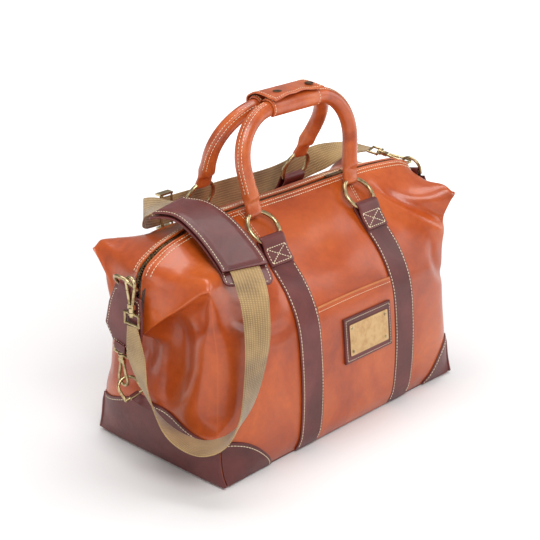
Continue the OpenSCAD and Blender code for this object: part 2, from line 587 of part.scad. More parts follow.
function place_on(path, q) = let (n = len(path) - 1, c = min(max(q, 0), n),
    p = through([for (s = path) s[0]], c), w0 = through([for (s = path) s[1]], c),
    d = unit(through([for (s = path) s[0]], min(c + 0.05, n)) - through([for (s = path) s[0]],
        max(c - 0.05, 0))),
    w = unit(w0 - (w0 * d) * d))
    [p, w, cross(w, d)];
// Flat band along a path; lift moves it along its face normal
module band(path, qs, width, thick, lift = 0)
    slab([for (q = qs) let (f = place_on(path, q), w = min(width, web_w(q) + width - strap_w))
            [for (y = [-0.5, 0.5]) f[0] + f[1] * y * w + f[2] * (lift + thick / 2)]],
         [for (q = qs) let (f = place_on(path, q), w = min(width, web_w(q) + width - strap_w))
            [for (y = [-0.5, 0.5]) f[0] + f[1] * y * w + f[2] * (lift - thick / 2)]]);
pad_from = 10.6;
pad_to = 15.5;
last = len(strap_path) - 1;
// The webbing is gathered where it passes through the small eyes
function web_w(q) = mix(eye_w - 3, strap_w, ease(min(q, (last - q) * 1.3) / 1.2));
module web_loop() rotate([90, 0, 0]) difference() {
    cylinder(h = eye_w - 4, r = eye_r + eye_fit + web_t, center = true, $fn = 48);
    cylinder(h = eye_w, r = eye_r + eye_fit, center = true, $fn = 48);
}
module webbing() color(khaki) {
    band(strap_path, spread(0.17, last - 0.17, 100), strap_w, web_t);
    left_hook_place() web_loop();
    right_hook_place() web_loop();
}
module pad_base() color(dark_leather) band(strap_path, spread(pad_from, pad_to, 26), pad_w, 2.6, -3);
module pad_sleeve() color(dark_leather) band(strap_path, spread(pad_from + 0.5, pad_to - 0.3, 24),
    pad_w - 8, 1.8, 2.4);

glide_x = -112;
glide_path_y = 108.2;
glide_path_z = 260;
bar_off = 3.4;
module tri_glide() color(old_brass) translate([glide_x, glide_path_y, glide_path_z]) {
    for (x = [-1, 1]) translate([x * 9, -bar_off, 0]) cylinder(h = strap_w + 8, r = 1.3, center = true,
        $fn = 24);
    translate([0, bar_off, 0]) cylinder(h = strap_w + 8, r = 1.3, center = true, $fn = 24);
    for (z = [-1, 1]) translate([0, 0, z * (strap_w / 2 + 3)]) cube([21, 2 * bar_off + 2.6, 2.4],
        center = true);
}

// Handles stand on their rings and lean together until their tops nearly touch, a little
// behind the zip
handle_y = handle_d / 2 + 0.3;
pair_y = 6;
front_tube_y = handle_y - pair_y;
back_tube_y = handle_y + pair_y;
// The back handle's legs bow outward, which leaves it this much shorter when drawn straight
back_bow = 8;
back_rise = handle_rise - back_bow;
front_lean = asin((front_top[0] - front_tube_y) / handle_rise);
back_lean = asin((back_top[0] - back_tube_y) / back_rise);
module on_ring(top, lean) translate([0, -top[0], top[1]]) rotate([-lean, 0, 0]) children();
module on_front_ring() on_ring(front_top, front_lean) children();
module on_back_ring() behind() on_ring(back_top, back_lean) children();
leg_x = strap_x + 1.5;
leg_from = 14;
// The legs spread apart a little on their way up to the bends
leg_spread = 10;
function leg_l(rise) = (rise - leg_from - handle_bend * (1 + sin(leg_spread))) / cos(leg_spread);
function bend_x(rise) = leg_x + leg_l(rise) * sin(leg_spread) - handle_bend * cos(leg_spread);
// Centre line of a handle, by the distance u along it from the middle of its top
bend_turn = 90 + leg_spread;
bend_l = handle_bend * bend_turn * PI / 180;
function turn_at(rise, u) = min(max(abs(u) - bend_x(rise), 0) / bend_l, 1) * bend_turn;
function handle_mid(rise, u) =
    let (a = turn_at(rise, u), flat = min(abs(u), bend_x(rise)),
        down = max(abs(u) - bend_x(rise) - bend_l, 0))
    [sign(u) * (flat + handle_bend * sin(a) + down * cos(a)), 0,
        rise - handle_bend * (1 - cos(a)) - down * sin(a)];
function handle_point(rise, u, angle, r) = let (a = turn_at(rise, u))
    handle_mid(rise, u) + r * [cos(angle) * sign(u) * sin(a), sin(angle), cos(angle) * cos(a)];
// Stations on both legs and round both bends, from one end to the other
bend_steps = 12;
function half_stations(rise,
    cut) = concat([for (i = [0:bend_steps]) bend_x(rise) + bend_l * i / bend_steps],
    [bend_x(rise) + bend_l + leg_l(rise) - cut]);
function stations(rise, cut) = let (h = half_stations(rise, cut), n = len(h) - 1)
    concat([for (i = [n:-1:0]) -h[i]], h);
tube_sides = 20;
function tube_ring(rise, u, r) = [for (k = [0:tube_sides - 1]) handle_point(rise, u,
    360 * k / tube_sides, r)];
function tube_faces(rows, from, flip) = [for (i = [0:rows - 2], k = [0:tube_sides - 1])
    let (a = from + i * tube_sides + k, b = from + i * tube_sides + (k + 1) % tube_sides)
    each flip ? [[a, b + tube_sides, a + tube_sides], [a, b, b + tube_sides]]
              : [[a, a + tube_sides, b + tube_sides], [a, b + tube_sides, b]]];
function rim_faces(outer, inner, flip) = [for (k = [0:tube_sides - 1])
    let (a = outer + k, b = outer + (k + 1) % tube_sides, c = inner + k, d = inner + (k + 1) % tube_sides)
    each flip ? [[a, d, b], [a, c, d]] : [[a, b, d], [a, d, c]]];
core_r = handle_d / 2 - 2.4;
core_gap = 0.12;
module handle_skin(rise) {
    us = stations(rise, 0);
    rows = len(us);
    n = rows * tube_sides;
    polyhedron(
        concat([for (u = us) each tube_ring(rise, u, handle_d / 2)],
               [for (u = us) each tube_ring(rise, u, core_r + core_gap)]),
        concat(tube_faces(rows, 0, true), tube_faces(rows, n, false),
               rim_faces(0, n, true), rim_faces(n - tube_sides, 2 * n - tube_sides, false)),
        convexity = 8);
    for (side = [0, 180]) rotate([0, 0, side]) handle_foot();
}
// A leg ends in a plug inside the tube and a sleeve round the ring
plug_l = 7;
foot_t = 2 * loop_t + 1.2;
module handle_foot() difference() {
    union() {
        translate([strap_x, 0, 0]) rotate([0, 90, 0]) cylinder(h = loop_w, r = loop_r + loop_t,
            center = true, $fn = 48);
        translate([strap_x - loop_w / 2, -foot_t / 2, 2]) cube([loop_w, foot_t, leg_from - 3]);
        translate([leg_x, 0, leg_from]) rotate([0, leg_spread, 0]) translate([0, 0, -4])
            cylinder(h = plug_l + 4, r = core_r - core_gap, $fn = 40);
    }
    translate([strap_x, 0, 0]) rotate([0, 90, 0]) cylinder(h = loop_w + 2, r = loop_r, center = true,
        $fn = 48);
}
module handle_rope(rise) {
    us = stations(rise, plug_l + 1);
    rows = len(us);
    n = rows * tube_sides;
    polyhedron([for (u = us) each tube_ring(rise, u, core_r)],
        concat(tube_faces(rows, 0, true), [[for (k = [tube_sides - 1:-1:0]) k]],
               [[for (k = [0:tube_sides - 1]) n - tube_sides + k]]), convexity = 8);
}
module front_handle() color(tan_leather) on_front_ring() handle_skin(handle_rise);
module back_handle() color(tan_leather) on_back_ring() handle_skin(back_rise);
rope_colour = [0.8, 0.75, 0.6];
module front_core() color(rope_colour) on_front_ring() handle_rope(handle_rise);
module back_core() color(rope_colour) on_back_ring() handle_rope(back_rise);

module rings(low, tilt) for (x = [-1, 1]) translate([x * strap_x, -low[0], low[1]])
    rotate([tilt - 90, 0, 0]) translate([0, 0, ring_d / 2]) rotate([90, 0, 0])
        rotate_extrude($fn = 96) translate([ring_d / 2, 0]) circle(r = wire_d / 2, $fn = 32);
module front_rings() color(old_brass) rings(front_low, front_ring_tilt);
module back_rings() color(old_brass) behind() rings(back_low, back_ring_tilt);

// Wrap: one half round each handle, and a flap over the top that snaps down at the front
front_tube_z = front_top[1] + handle_rise * cos(front_lean);
back_tube_z = back_top[1] + back_rise * cos(back_lean);
wrap_x = -3.5;
wrap_in = handle_d / 2 + 0.25;
wrap_t = 2;
wrap_open = 3;
// The half follows the handle: its straight middle and the start of each bend
wrap_reach = asin(wrap_open / (wrap_in + wrap_t / 2));
wrap_angles = spread(360 + wrap_reach, 180 - wrap_reach, 18);
function along_handle(rise, x) = let (flat = bend_x(rise))
    sign(x) * (flat + handle_bend * asin((abs(x) - flat) / handle_bend) * PI / 180);
module wrap_half(rise) {
    from = along_handle(rise, wrap_x - wrap_l / 2);
    to = along_handle(rise, wrap_x + wrap_l / 2);
    us = spread(from, to, 10);
    slab([for (u = us) [for (a = wrap_angles) handle_point(rise, u, a, wrap_in + wrap_t)]],
         [for (u = us) [for (a = wrap_angles) handle_point(rise, u, a, wrap_in)]]);
}
module on_pair() translate([wrap_x, pair_y, 0]) children();
module front_wrap() color(tan_leather) on_front_ring() wrap_half(handle_rise);
module back_wrap() color(tan_leather) on_back_ring() wrap_half(back_rise);
flap_clear = 4;
flap_t = 2;
crown = front_tube_z + wrap_in + wrap_t + flap_clear + flap_t / 2;
hinge_y = 23.6;
hinge_z = back_tube_z + 2;
flap_line = [[hinge_y, hinge_z], [hinge_y - 0.2, hinge_z + 6], [19.5, crown - 5], [11, crown - 1],
    [0, crown], [-12, crown], [-24, crown - 0.8]];
flap_steps = 24;
function flap_side(o) = [for (q = spread(0, 1, flap_steps))
    let (p = along(flap_line, q), d = unit(along(flap_line, q + 0.02) - along(flap_line, q - 0.02)))
    p + o * [d[1], -d[0]]];
function reversed(v) = [for (i = [len(v) - 1:-1:0]) v[i]];
// The flap is a leather fold behind the back handle, with no pin
module wrap_flap() color(tan_leather) on_pair() from_side(wrap_l)
    polygon(concat(flap_side(flap_t / 2), reversed(flap_side(-flap_t / 2))));
snap_x = 28;
cap_r = 5.5;
cap_dome = 18.2;
module at_snaps(z) for (x = [-1, 1]) translate([x * snap_x, -front_tube_y, z]) children();
module snap_caps() color([0.3, 0.26, 0.22]) at_snaps(crown + flap_t / 2 + 0.3) intersection() {
    cylinder(h = 2, r = cap_r, $fn = 48);
    translate([0, 0, 1.2 - cap_dome]) sphere(r = cap_dome, $fn = 96);
}
module snap_studs() color(old_brass) at_snaps(front_tube_z + wrap_in + wrap_t + 0.02) cylinder(h = 0.9,
    r = 3.4, $fn = 40);

front_panel();
back_panel();
left_gusset();
right_gusset();
base_panel();
base_board();
lining();
left_end_cap();
right_end_cap();
front_corner_patches();
back_corner_patches();
corner_piping();
left_strap();
right_strap();
front_pocket();
pocket_binding();
plate_patch();
name_plate();
plate_rivets();
zip_tapes();
zip_chain();
zip_stops();
zip_slider();
zip_pull();
left_end_tab();
right_end_tab();
left_tab_ring();
right_tab_ring();
left_base_ring();
right_base_ring();
base_ring_chapes();
webbing();
pad_base();
pad_sleeve();
tri_glide();
left_strap_eye();
left_strap_hook();
left_strap_gate();
right_strap_eye();
right_strap_hook();
right_strap_gate();
left_clip_eye();
left_clip_hook();
left_clip_gate();
right_clip_eye();
right_clip_hook();
right_clip_gate();
front_rings();
back_rings();
front_handle();
back_handle();
front_core();
back_core();
front_wrap();
back_wrap();
wrap_flap();
snap_caps();
snap_studs();
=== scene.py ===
import math
import bpy
import numpy as np
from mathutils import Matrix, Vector


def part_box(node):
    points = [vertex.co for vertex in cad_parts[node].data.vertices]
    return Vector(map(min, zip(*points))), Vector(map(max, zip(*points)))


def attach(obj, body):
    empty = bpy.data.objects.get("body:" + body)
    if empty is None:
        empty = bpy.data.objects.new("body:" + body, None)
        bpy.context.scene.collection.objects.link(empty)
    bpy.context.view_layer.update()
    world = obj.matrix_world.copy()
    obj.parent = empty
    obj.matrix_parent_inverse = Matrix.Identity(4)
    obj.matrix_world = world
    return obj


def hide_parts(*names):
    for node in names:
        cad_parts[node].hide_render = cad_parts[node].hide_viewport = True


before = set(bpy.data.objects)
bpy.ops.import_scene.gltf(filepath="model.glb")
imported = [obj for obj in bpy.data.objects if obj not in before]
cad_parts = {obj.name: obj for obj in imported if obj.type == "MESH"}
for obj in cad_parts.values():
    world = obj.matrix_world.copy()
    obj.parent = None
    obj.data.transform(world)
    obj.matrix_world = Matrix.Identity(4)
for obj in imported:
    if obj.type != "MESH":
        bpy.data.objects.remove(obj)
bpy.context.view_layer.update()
MM = 0.001

# ---------------------------------------------------------------- curves, in millimetres
def through(points, q):
    p = np.asarray(points, float)
    n = len(p) - 1
    q = np.asarray(q, float)
    i = np.clip(np.floor(q).astype(int), 0, n - 1)
    f = (q - i)[..., None]
    a, b, c, d = p[np.maximum(i - 1, 0)], p[i], p[i + 1], p[np.minimum(i + 2, n)]
    return (2 * b + (c - a) * f + (2 * a - 5 * b + 4 * c - d) * f * f + (3 * b - a - 3 * c + d) * f ** 3) / 2

def along(points, t):
    return through(points, np.clip(t, 0, 1) * (len(points) - 1))

def ease(x):
    c = np.clip(x, 0, 1)
    return c * c * (3 - 2 * c)

def mix(a, b, w):
    return a + (b - a) * w

def unit(v):
    return v / np.maximum(np.linalg.norm(v, axis=-1, keepdims=True), 1e-9)

def hump(x, width):
    return np.exp(-(x / width) ** 2)

def vec(*parts):
    return np.stack(np.broadcast_arrays(*parts), axis=-1).astype(float)

# ---------------------------------------------------------------- the body's skin
LEFT, RIGHT, SLACK, LIFT = 230.0, 203.0, 27.0, 24.0
ZIP_Z, NOSE = 284.0, 112.0
FRONT_LINE = [[106, 3], [115, 24], [118, 70], [116, 118], [109, 166], [90, 203], [60, 234], [31, 263], [5.5, 284]]
BACK_LINE = [[106, 3], [115, 24], [119, 70], [119, 118], [117, 166], [111, 206], [93, 238], [52, 267], [5.5, 284]]
CORNER_LINE = [[-4, 109, 3], [-3, 102, 24], [-5, 97, 70], [-9, 94, 118], [-9, 93, 166], [-1, 95, 208],
               [7, 97, 247], [17, 50, 211], [26, 5.5, ZIP_Z - NOSE]]
ZIP_LINE = [[0, 0], [64, 0.5], [128, -0.5], [185, -8], [226, -20], [251, -44], [256, -NOSE]]
ZIP_SHARE = np.array([0, 0.25, 0.5, 0.7, 0.85, 0.94, 1.0])
END_LINE = [[-2, 3], [5, 26], [9, 55], [7, 84], [-3, 110], [-10, 132], [-4, 152], [26, ZIP_Z - NOSE]]
FOLD_SHARE = 0.75

def zip_at(s):
    a = np.abs(s)
    i = np.clip(np.searchsorted(ZIP_SHARE, a, side="right") - 1, 0, len(ZIP_SHARE) - 2)
    z = through(ZIP_LINE, i + (a - ZIP_SHARE[i]) / (ZIP_SHARE[i + 1] - ZIP_SHARE[i]))
    right = s > 0
    return vec(z[..., 0] - np.where(right, SLACK * a ** 4, 0), 5.5, ZIP_Z + z[..., 1] + np.where(right, LIFT * a ** 4, 0))

def blend_at(s, t, line):
    a = np.abs(s)
    m, c = along(line, t), along(CORNER_LINE, t)
    cx = LEFT + c[..., 0] - np.where(s > 0, SLACK, 0)
    w = a ** (7 - 2.5 * ease(t / 0.8))
    return vec(a * LEFT + (cx - LEFT) * a ** 4, mix(m[..., 0], c[..., 1], w), mix(m[..., 1], c[..., 2], w))

def skin(s, t, line=FRONT_LINE):
    s, t = np.broadcast_arrays(np.asarray(s, float), np.asarray(t, float))
    r = blend_at(s, t, line) + (t ** 5)[..., None] * (zip_at(s) - blend_at(s, np.ones_like(t), line))
    return r * vec(np.sign(s), -1, 1)

def skin_normal(s, t, line, h=0.004):
    return unit(np.cross(skin(np.minimum(s + h, 1), t, line) - skin(np.maximum(s - h, -1), t, line),
                         skin(s, np.minimum(t + h, 1), line) - skin(s, np.maximum(t - h, 0), line)))

def corner_skin(side, t):
    p = skin(np.full_like(t, side), t)
    return p if side < 0 else p * [-1, 1, 1] - [SLACK, 0, 0]

def end_raw(side, v, t):
    a, c, k = np.abs(v), along(END_LINE, t), corner_skin(side, t * FOLD_SHARE)
    w = a ** mix(4, 1.5, t ** 2)
    return vec(mix(-LEFT - c[..., 0], k[..., 0], w), v * np.abs(k[..., 1]), mix(c[..., 1], k[..., 2], w))

def end_face(side, v, t):
    top, raw = corner_skin(side, mix(1, FOLD_SHARE, np.abs(v))), end_raw(side, v, np.ones_like(t))
    goal = vec(top[..., 0], np.sign(v) * np.abs(top[..., 1]), top[..., 2])
    return end_raw(side, v, t) + (t ** 6)[..., None] * (goal - raw)

# ---------------------------------------------------------------- folds and sags pressed into the skin
def waves(x, y, seed, octaves=3):
    total, size = 0, 1.0
    for k in range(octaves):
        p = seed * 1.7 + k * 2.3
        total = total + size * (np.sin(x * 1.9 + p) * np.cos(y * 2.3 - p) + 0.6 * np.sin(x * 3.1 - y * 1.3 + 2 * p))
        x, y, size = x * 1.9, y * 1.8, size * 0.45
    return total / 2

def valley(s, t, a, b, width, lip, x_scale=230, t_scale=340):
    """Groove from a to b in (s, t), with a raised lip on its lower side."""
    ax, at, bx, bt = a[0] * x_scale, a[1] * t_scale, b[0] * x_scale, b[1] * t_scale
    dx, dt = bx - ax, bt - at
    size = math.hypot(dx, dt)
    px, pt = s * x_scale - ax, t * t_scale - at
    run = (px * dx + pt * dt) / size ** 2
    off = (px * dt - pt * dx) / size
    body = ease(run / 0.3) * ease((1.15 - run) / 0.3)
    bow = 14 * np.sin(np.clip(run, 0, 1) * math.pi)
    off = off - bow
    return body * (-hump(off, width) + lip * hump(off - 1.7 * width, width * 1.2))

def front_dents(s, t):
    keep = ease((1 - np.abs(s)) / 0.08) * ease((1 - t) / 0.05) * ease(t / 0.1)
    calm = 1 - 0.85 * hump(s, 0.3) * hump(t - 0.38, 0.2)
    d = 1.3 * calm * waves(s * 2.6, t * 2.4, 1.0)
    d = d + 7.5 * valley(s, t, (0.50, 0.93), (0.97, 0.63), 9, 0.5)
    d = d + 3.0 * valley(s, t, (0.72, 0.60), (0.93, 0.44), 10, 0.3)
    d = d + 3.4 * valley(-s, t, (0.47, 0.72), (0.90, 0.58), 13, 0.6)
    d = d + 2.2 * valley(-s, t, (0.45, 0.50), (0.85, 0.62), 10, 0.5)
    d = d - 2.5 * hump(s + 0.14, 0.16) * hump(t - 0.68, 0.10) + 2.0 * hump(s, 0.24) * hump(t - 0.83, 0.06)
    d = d - 1.6 * hump(np.abs(s) - 0.378, 0.10) * hump(t - 0.87, 0.05)
    return keep * d

def back_dents(s, t):
    keep = ease((1 - np.abs(s)) / 0.08) * ease((1 - t) / 0.05) * ease(t / 0.1)
    calm = 1 - 0.8 * hump(t - 0.8, 0.12)
    d = 1.8 * calm * waves(s * 2.2 + 4, t * 2.1, 2.0)
    d = d + 4.5 * valley(s, t, (0.55, 0.90), (0.97, 0.66), 10, 0.5)
    d = d + 3.5 * valley(-s, t, (0.60, 0.90), (0.97, 0.66), 12, 0.5)
    return keep * d

def end_dents(side, v, t):
    keep = ease((1 - np.abs(v)) / 0.12) * ease((1 - t) / 0.035) * ease((t - 0.05) / 0.1)
    a = np.abs(v)
    trough = -12.0 * hump(a - 0.33, 0.20) * ease((t - 0.25) / 0.5)
    under = -13.0 * ease((a - 0.08) / 0.25) * hump(t - 0.90, 0.075)
    bulge = 3.0 * hump(a - 0.72, 0.22) * hump(t - 0.58, 0.28)
    soft = 0.6 * waves(v * 1.2 + side, t * 1.6, 3.0, 2)
    belly = -2.0 * hump(v, 0.3) * hump(t - 0.55, 0.1)
    return keep * (trough + under + bulge + soft + belly)

# The vertical corners are rounded above the brown patches
ROUND_S, ROUND_V = 0.095, 0.22
def round_share(t):
    return ease((t - 0.235) / 0.08) * ease((0.755 - t) / 0.10)

def front_base(s, t, o, line, dents):
    return skin(s, t, line) + skin_normal(s, t, line) * (dents(s, t) + o)[..., None]

def end_base(side, v, t, o, h=0.004):
    n = unit(np.cross(end_face(side, v, np.minimum(t + h, 1)) - end_face(side, v, np.maximum(t - h, 0)),
                      end_face(side, np.minimum(v + h, 1), t) - end_face(side, np.maximum(v - h, -1), t)))
    return end_face(side, v, t) + n * (end_dents(side, v, t) + o)[..., None]

def to_side(side, p):
    return p if side < 0 else p * [-1, 1, 1] - [SLACK, 0, 0]

def corner_bend(side, t, o, is_back, k):
    """Rounded corner shared by a wall (k from 0) and an end (k from 1), as if it were at the front."""
    line, dents = (BACK_LINE, back_dents) if is_back else (FRONT_LINE, front_dents)
    share = round_share(t)
    start = front_base(side * (1 - ROUND_S * share), t, o, line, dents)
    tip = front_base(np.full_like(t, float(side)), t, o, line, dents)
    v = (1 - ROUND_V * share) * (1 if is_back else -1)
    far = to_side(side, end_base(side, v, np.clip(t / FOLD_SHARE, 0, 1), o))
    if is_back:
        far = far * [1, -1, 1]
    return ((1 - k) ** 2)[..., None] * start + (2 * k * (1 - k))[..., None] * tip + (k ** 2)[..., None] * far

def wall(s, t, o=0.0, is_back=False):
    """The front or back panel at height o above its skin, corner rounding included."""
    s, t, o = np.broadcast_arrays(np.asarray(s, float), np.asarray(t, float), np.asarray(o, float))
    line, dents = (BACK_LINE, back_dents) if is_back else (FRONT_LINE, front_dents)
    p = front_base(s, t, o, line, dents)
    e = ROUND_S * round_share(t)
    w = np.clip((np.abs(s) - 1 + e) / np.maximum(e, 1e-6), 0, 1) * (e > 1e-4)
    for side in (-1, 1):
        here = (w > 0) & (np.sign(s) == side)
        if np.any(here):
            p = np.where(here[..., None], corner_bend(side, t, o, is_back, w / 2), p)
    return p * [1, -1, 1] if is_back else p

def front(s, t, o=0.0):
    return wall(s, t, o)

def back(s, t, o=0.0):
    return wall(s, t, o, True)

def end(side):
    def at(v, t, o=0.0):
        v, t, o = np.broadcast_arrays(np.asarray(v, float), np.asarray(t, float), np.asarray(o, float))
        p = to_side(side, end_base(side, v, t, o))
        e = ROUND_V * round_share(t * FOLD_SHARE)
        w = np.clip((np.abs(v) - 1 + e) / np.maximum(e, 1e-6), 0, 1) * (e > 1e-4)
        for is_back in (False, True):
            here = (w > 0) & ((v > 0) == is_back)
            if np.any(here):
                bend = corner_bend(side, t * FOLD_SHARE, o, is_back, 1 - w / 2)
                p = np.where(here[..., None], bend * [1, -1, 1] if is_back else bend, p)
        return p
    return at

# ---------------------------------------------------------------- mesh makers
def make(name, points, faces, material, body, replaces=(), slot=None, smooth=35, uv=None):
    me = bpy.data.meshes.new(name)
    me.from_pydata((np.asarray(points) * MM).tolist(), [], faces)
    me.validate()
    me.polygons.foreach_set("use_smooth", [True] * len(me.polygons))
    if smooth < 180:
        me.set_sharp_from_angle(angle=math.radians(smooth))
    if uv is not None:
        layer = me.uv_layers.new(name="cloth")
        loops = np.zeros(len(me.loops), int)
        me.loops.foreach_get("vertex_index", loops)
        layer.data.foreach_set("uv", np.asarray(uv)[loops].ravel())
    me.update()
    me.materials.append(material)
    o = bpy.data.objects.new(name, me)
    bpy.context.scene.collection.objects.link(o)
    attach(o, body)
    if replaces:
        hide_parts(*replaces)
    return o

def grid_faces(rows, cols, start=0, flip=False, wrap=False):
    faces = []
    span = cols if wrap else cols - 1
    for i in range(rows - 1):
        for j in range(span):
            a, b = start + i * cols + j, start + i * cols + (j + 1) % cols
            q = (a, b, b + cols, a + cols)
            faces.append(q[::-1] if flip else q)
    return faces

def slab(outer, inner, flip=False):
    """Closed sheet between two grids of points."""
    rows, cols = outer.shape[:2]
    n = rows * cols
    faces = grid_faces(rows, cols, 0, flip) + grid_faces(rows, cols, n, not flip)
    rim = (list(range(cols)) + [i * cols + cols - 1 for i in range(1, rows)]
           + [(rows - 1) * cols + j for j in range(cols - 2, -1, -1)] + [i * cols for i in range(rows - 2, 0, -1)])
    for k in range(len(rim)):
        a, b = rim[k], rim[(k + 1) % len(rim)]
        q = (b, a, n + a, n + b)
        faces.append(q[::-1] if flip else q)
    return np.concatenate([outer.reshape(-1, 3), inner.reshape(-1, 3)]), faces

EDGE_AT = (0.0, 0.12, 0.45, 1.0, 1.9)
EDGE_UP = (0.25, 0.62, 0.88, 0.98, 1.0)
def soft_steps(size, n, low=True, high=True):
    """Positions 0 to 1 along size millimetres and how full the leather is there; rounded at the chosen ends."""
    inner = np.linspace(0, 1, n + 1)
    k = 2.6 / size
    inner = [x for x in inner if (x > k or not low) and (x < 1 - k or not high)]
    at = ([e / size for e in EDGE_AT] if low else []) + inner + ([1 - e / size for e in reversed(EDGE_AT)] if high else [])
    up = (list(EDGE_UP) if low else []) + [1.0] * len(inner) + (list(reversed(EDGE_UP)) if high else [])
    return np.array(at), np.array(up)

def patch(name, fn, a, b, lift, thick, material, body="bag", replaces=(), slot="dark_leather", flip=False, crown=0.0):
    """Sewn-on leather: fn(u, v, height) over u, v from soft_steps, with rounded cut edges."""
    (u, hu), (v, hv) = a, b
    U, V = np.meshgrid(u, v)
    H = np.minimum(*np.meshgrid(hu, hv))
    puff = crown * np.sin(math.pi * U) * np.sin(math.pi * V)
    outer, inner = fn(U, V, lift + thick * H + puff), fn(U, V, np.full_like(U, lift))
    pts, faces = slab(outer, inner, flip)
    return make(name, pts, faces, material, body, replaces, slot)

def stitch_points(path, up, pitch, run, r, rise=0.1):
    """Thread laid in dashes along a polyline; up is the surface direction at each of its points."""
    d = np.r_[0, np.cumsum(np.linalg.norm(np.diff(path, axis=0), axis=1))]
    n = max(int(d[-1] / pitch), 1)
    step = d[-1] / n
    mids = (np.arange(n) + 0.5) * step
    at = lambda q, data: np.stack([np.interp(q, d, data[:, k]) for k in range(3)], axis=-1)
    shares, sizes = (-0.5, -0.3, 0, 0.3, 0.5), (0.35, 0.9, 1.0, 0.9, 0.35)
    rings = []
    tangent = unit(at(mids + 0.3 * run, path) - at(mids - 0.3 * run, path))
    normal = unit(at(mids, up))
    side = unit(np.cross(tangent, normal))
    for share, size in zip(shares, sizes):
        c = at(mids + share * run, path) + normal * (rise - abs(share) * 0.5)
        for k in range(6):
            ang = math.pi * k / 3
            rings.append(c + size * r * (side * math.cos(ang) + normal * math.sin(ang)))
    pts = np.stack(rings, axis=1).reshape(-1, 3)
    faces = []
    for m in range(n):
        s0 = m * 30
        faces += grid_faces(5, 6, s0, False, True)
        faces += [tuple(s0 + k for k in range(5, -1, -1)), tuple(s0 + 24 + k for k in range(6))]
    return pts, faces

class Thread:
    """Collects the stitch rows of one body into one piece."""
    def __init__(self, name, body, r=0.42, pitch=4.2, run=3.1):
        self.name, self.body, self.r, self.pitch, self.run = name, body, r, pitch, run
        self.points, self.faces, self.count = [], [], 0

    def row(self, path, up, pitch=None, run=None, r=None):
        pts, faces = stitch_points(np.asarray(path, float), np.asarray(up, float), pitch or self.pitch, run or self.run, r or self.r)
        self.points.append(pts)
        self.faces += [tuple(i + self.count for i in f) for f in faces]
        self.count += len(pts)

    def on(self, fn, us, vs, lift=0.25, **kw):
        """Row over fn(u, v, height) through the given u and v."""
        us, vs = np.broadcast_arrays(np.asarray(us, float), np.asarray(vs, float))
        low, high = fn(us, vs, np.full(us.shape, lift)), fn(us, vs, np.full(us.shape, lift + 1.0))
        self.row(low, high - low, **kw)

    def done(self, material):
        return make(self.name, np.concatenate(self.points), self.faces, material, self.body, smooth=180)

def tube(path, r, sides=12, normal=None):
    """Cord along a polyline; r is one radius or one per point."""
    path = np.asarray(path, float)
    n = len(path)
    r = np.broadcast_to(np.asarray(r, float), (n,))
    d = unit(np.gradient(path, axis=0))
    ref = np.asarray(normal if normal is not None else [0.0, 0.0, 1.0], float)
    u = unit(np.cross(d, np.broadcast_to(ref, d.shape)))
    w = np.cross(d, u)
    ang = np.arange(sides) * 2 * math.pi / sides
    pts = path[:, None] + r[:, None, None] * (u[:, None] * np.cos(ang)[None, :, None] + w[:, None] * np.sin(ang)[None, :, None])
    faces = grid_faces(n, sides, 0, False, True)
    faces += [tuple(range(sides))[::-1], tuple((n - 1) * sides + k for k in range(sides))]
    return pts.reshape(-1, 3), faces

def join_parts(parts):
    points, faces, count = [], [], 0
    for pts, fs in parts:
        points.append(pts)
        faces += [tuple(i + count for i in f) for f in fs]
        count += len(pts)
    return np.concatenate(points), faces

# ---------------------------------------------------------------- materials
def node(tree, kind, **values):
    n = tree.nodes.new(kind)
    for key, value in values.items():
        if key in n.inputs:
            n.inputs[key].default_value = value
        else:
            setattr(n, key, value)
    return n

def linear(rgb):
    return tuple((c / 255 / 12.92 if c / 255 <= 0.04045 else ((c / 255 + 0.055) / 1.055) ** 2.4) for c in rgb) + (1.0,)

def base_material(name):
    m = bpy.data.materials.new(name)
    m.use_nodes = True
    tree = m.node_tree
    return m, tree, tree.nodes["Principled BSDF"], tree.nodes.new("ShaderNodeTexCoord")

def ramp(tree, source, stops):
    r = tree.nodes.new("ShaderNodeValToRGB")
    el = r.color_ramp.elements
    while len(el) < len(stops):
        el.new(0.5)
    for e, (at, colour) in zip(el, stops):
        e.position, e.color = at, colour
    tree.links.new(source, r.inputs[0])
    return r

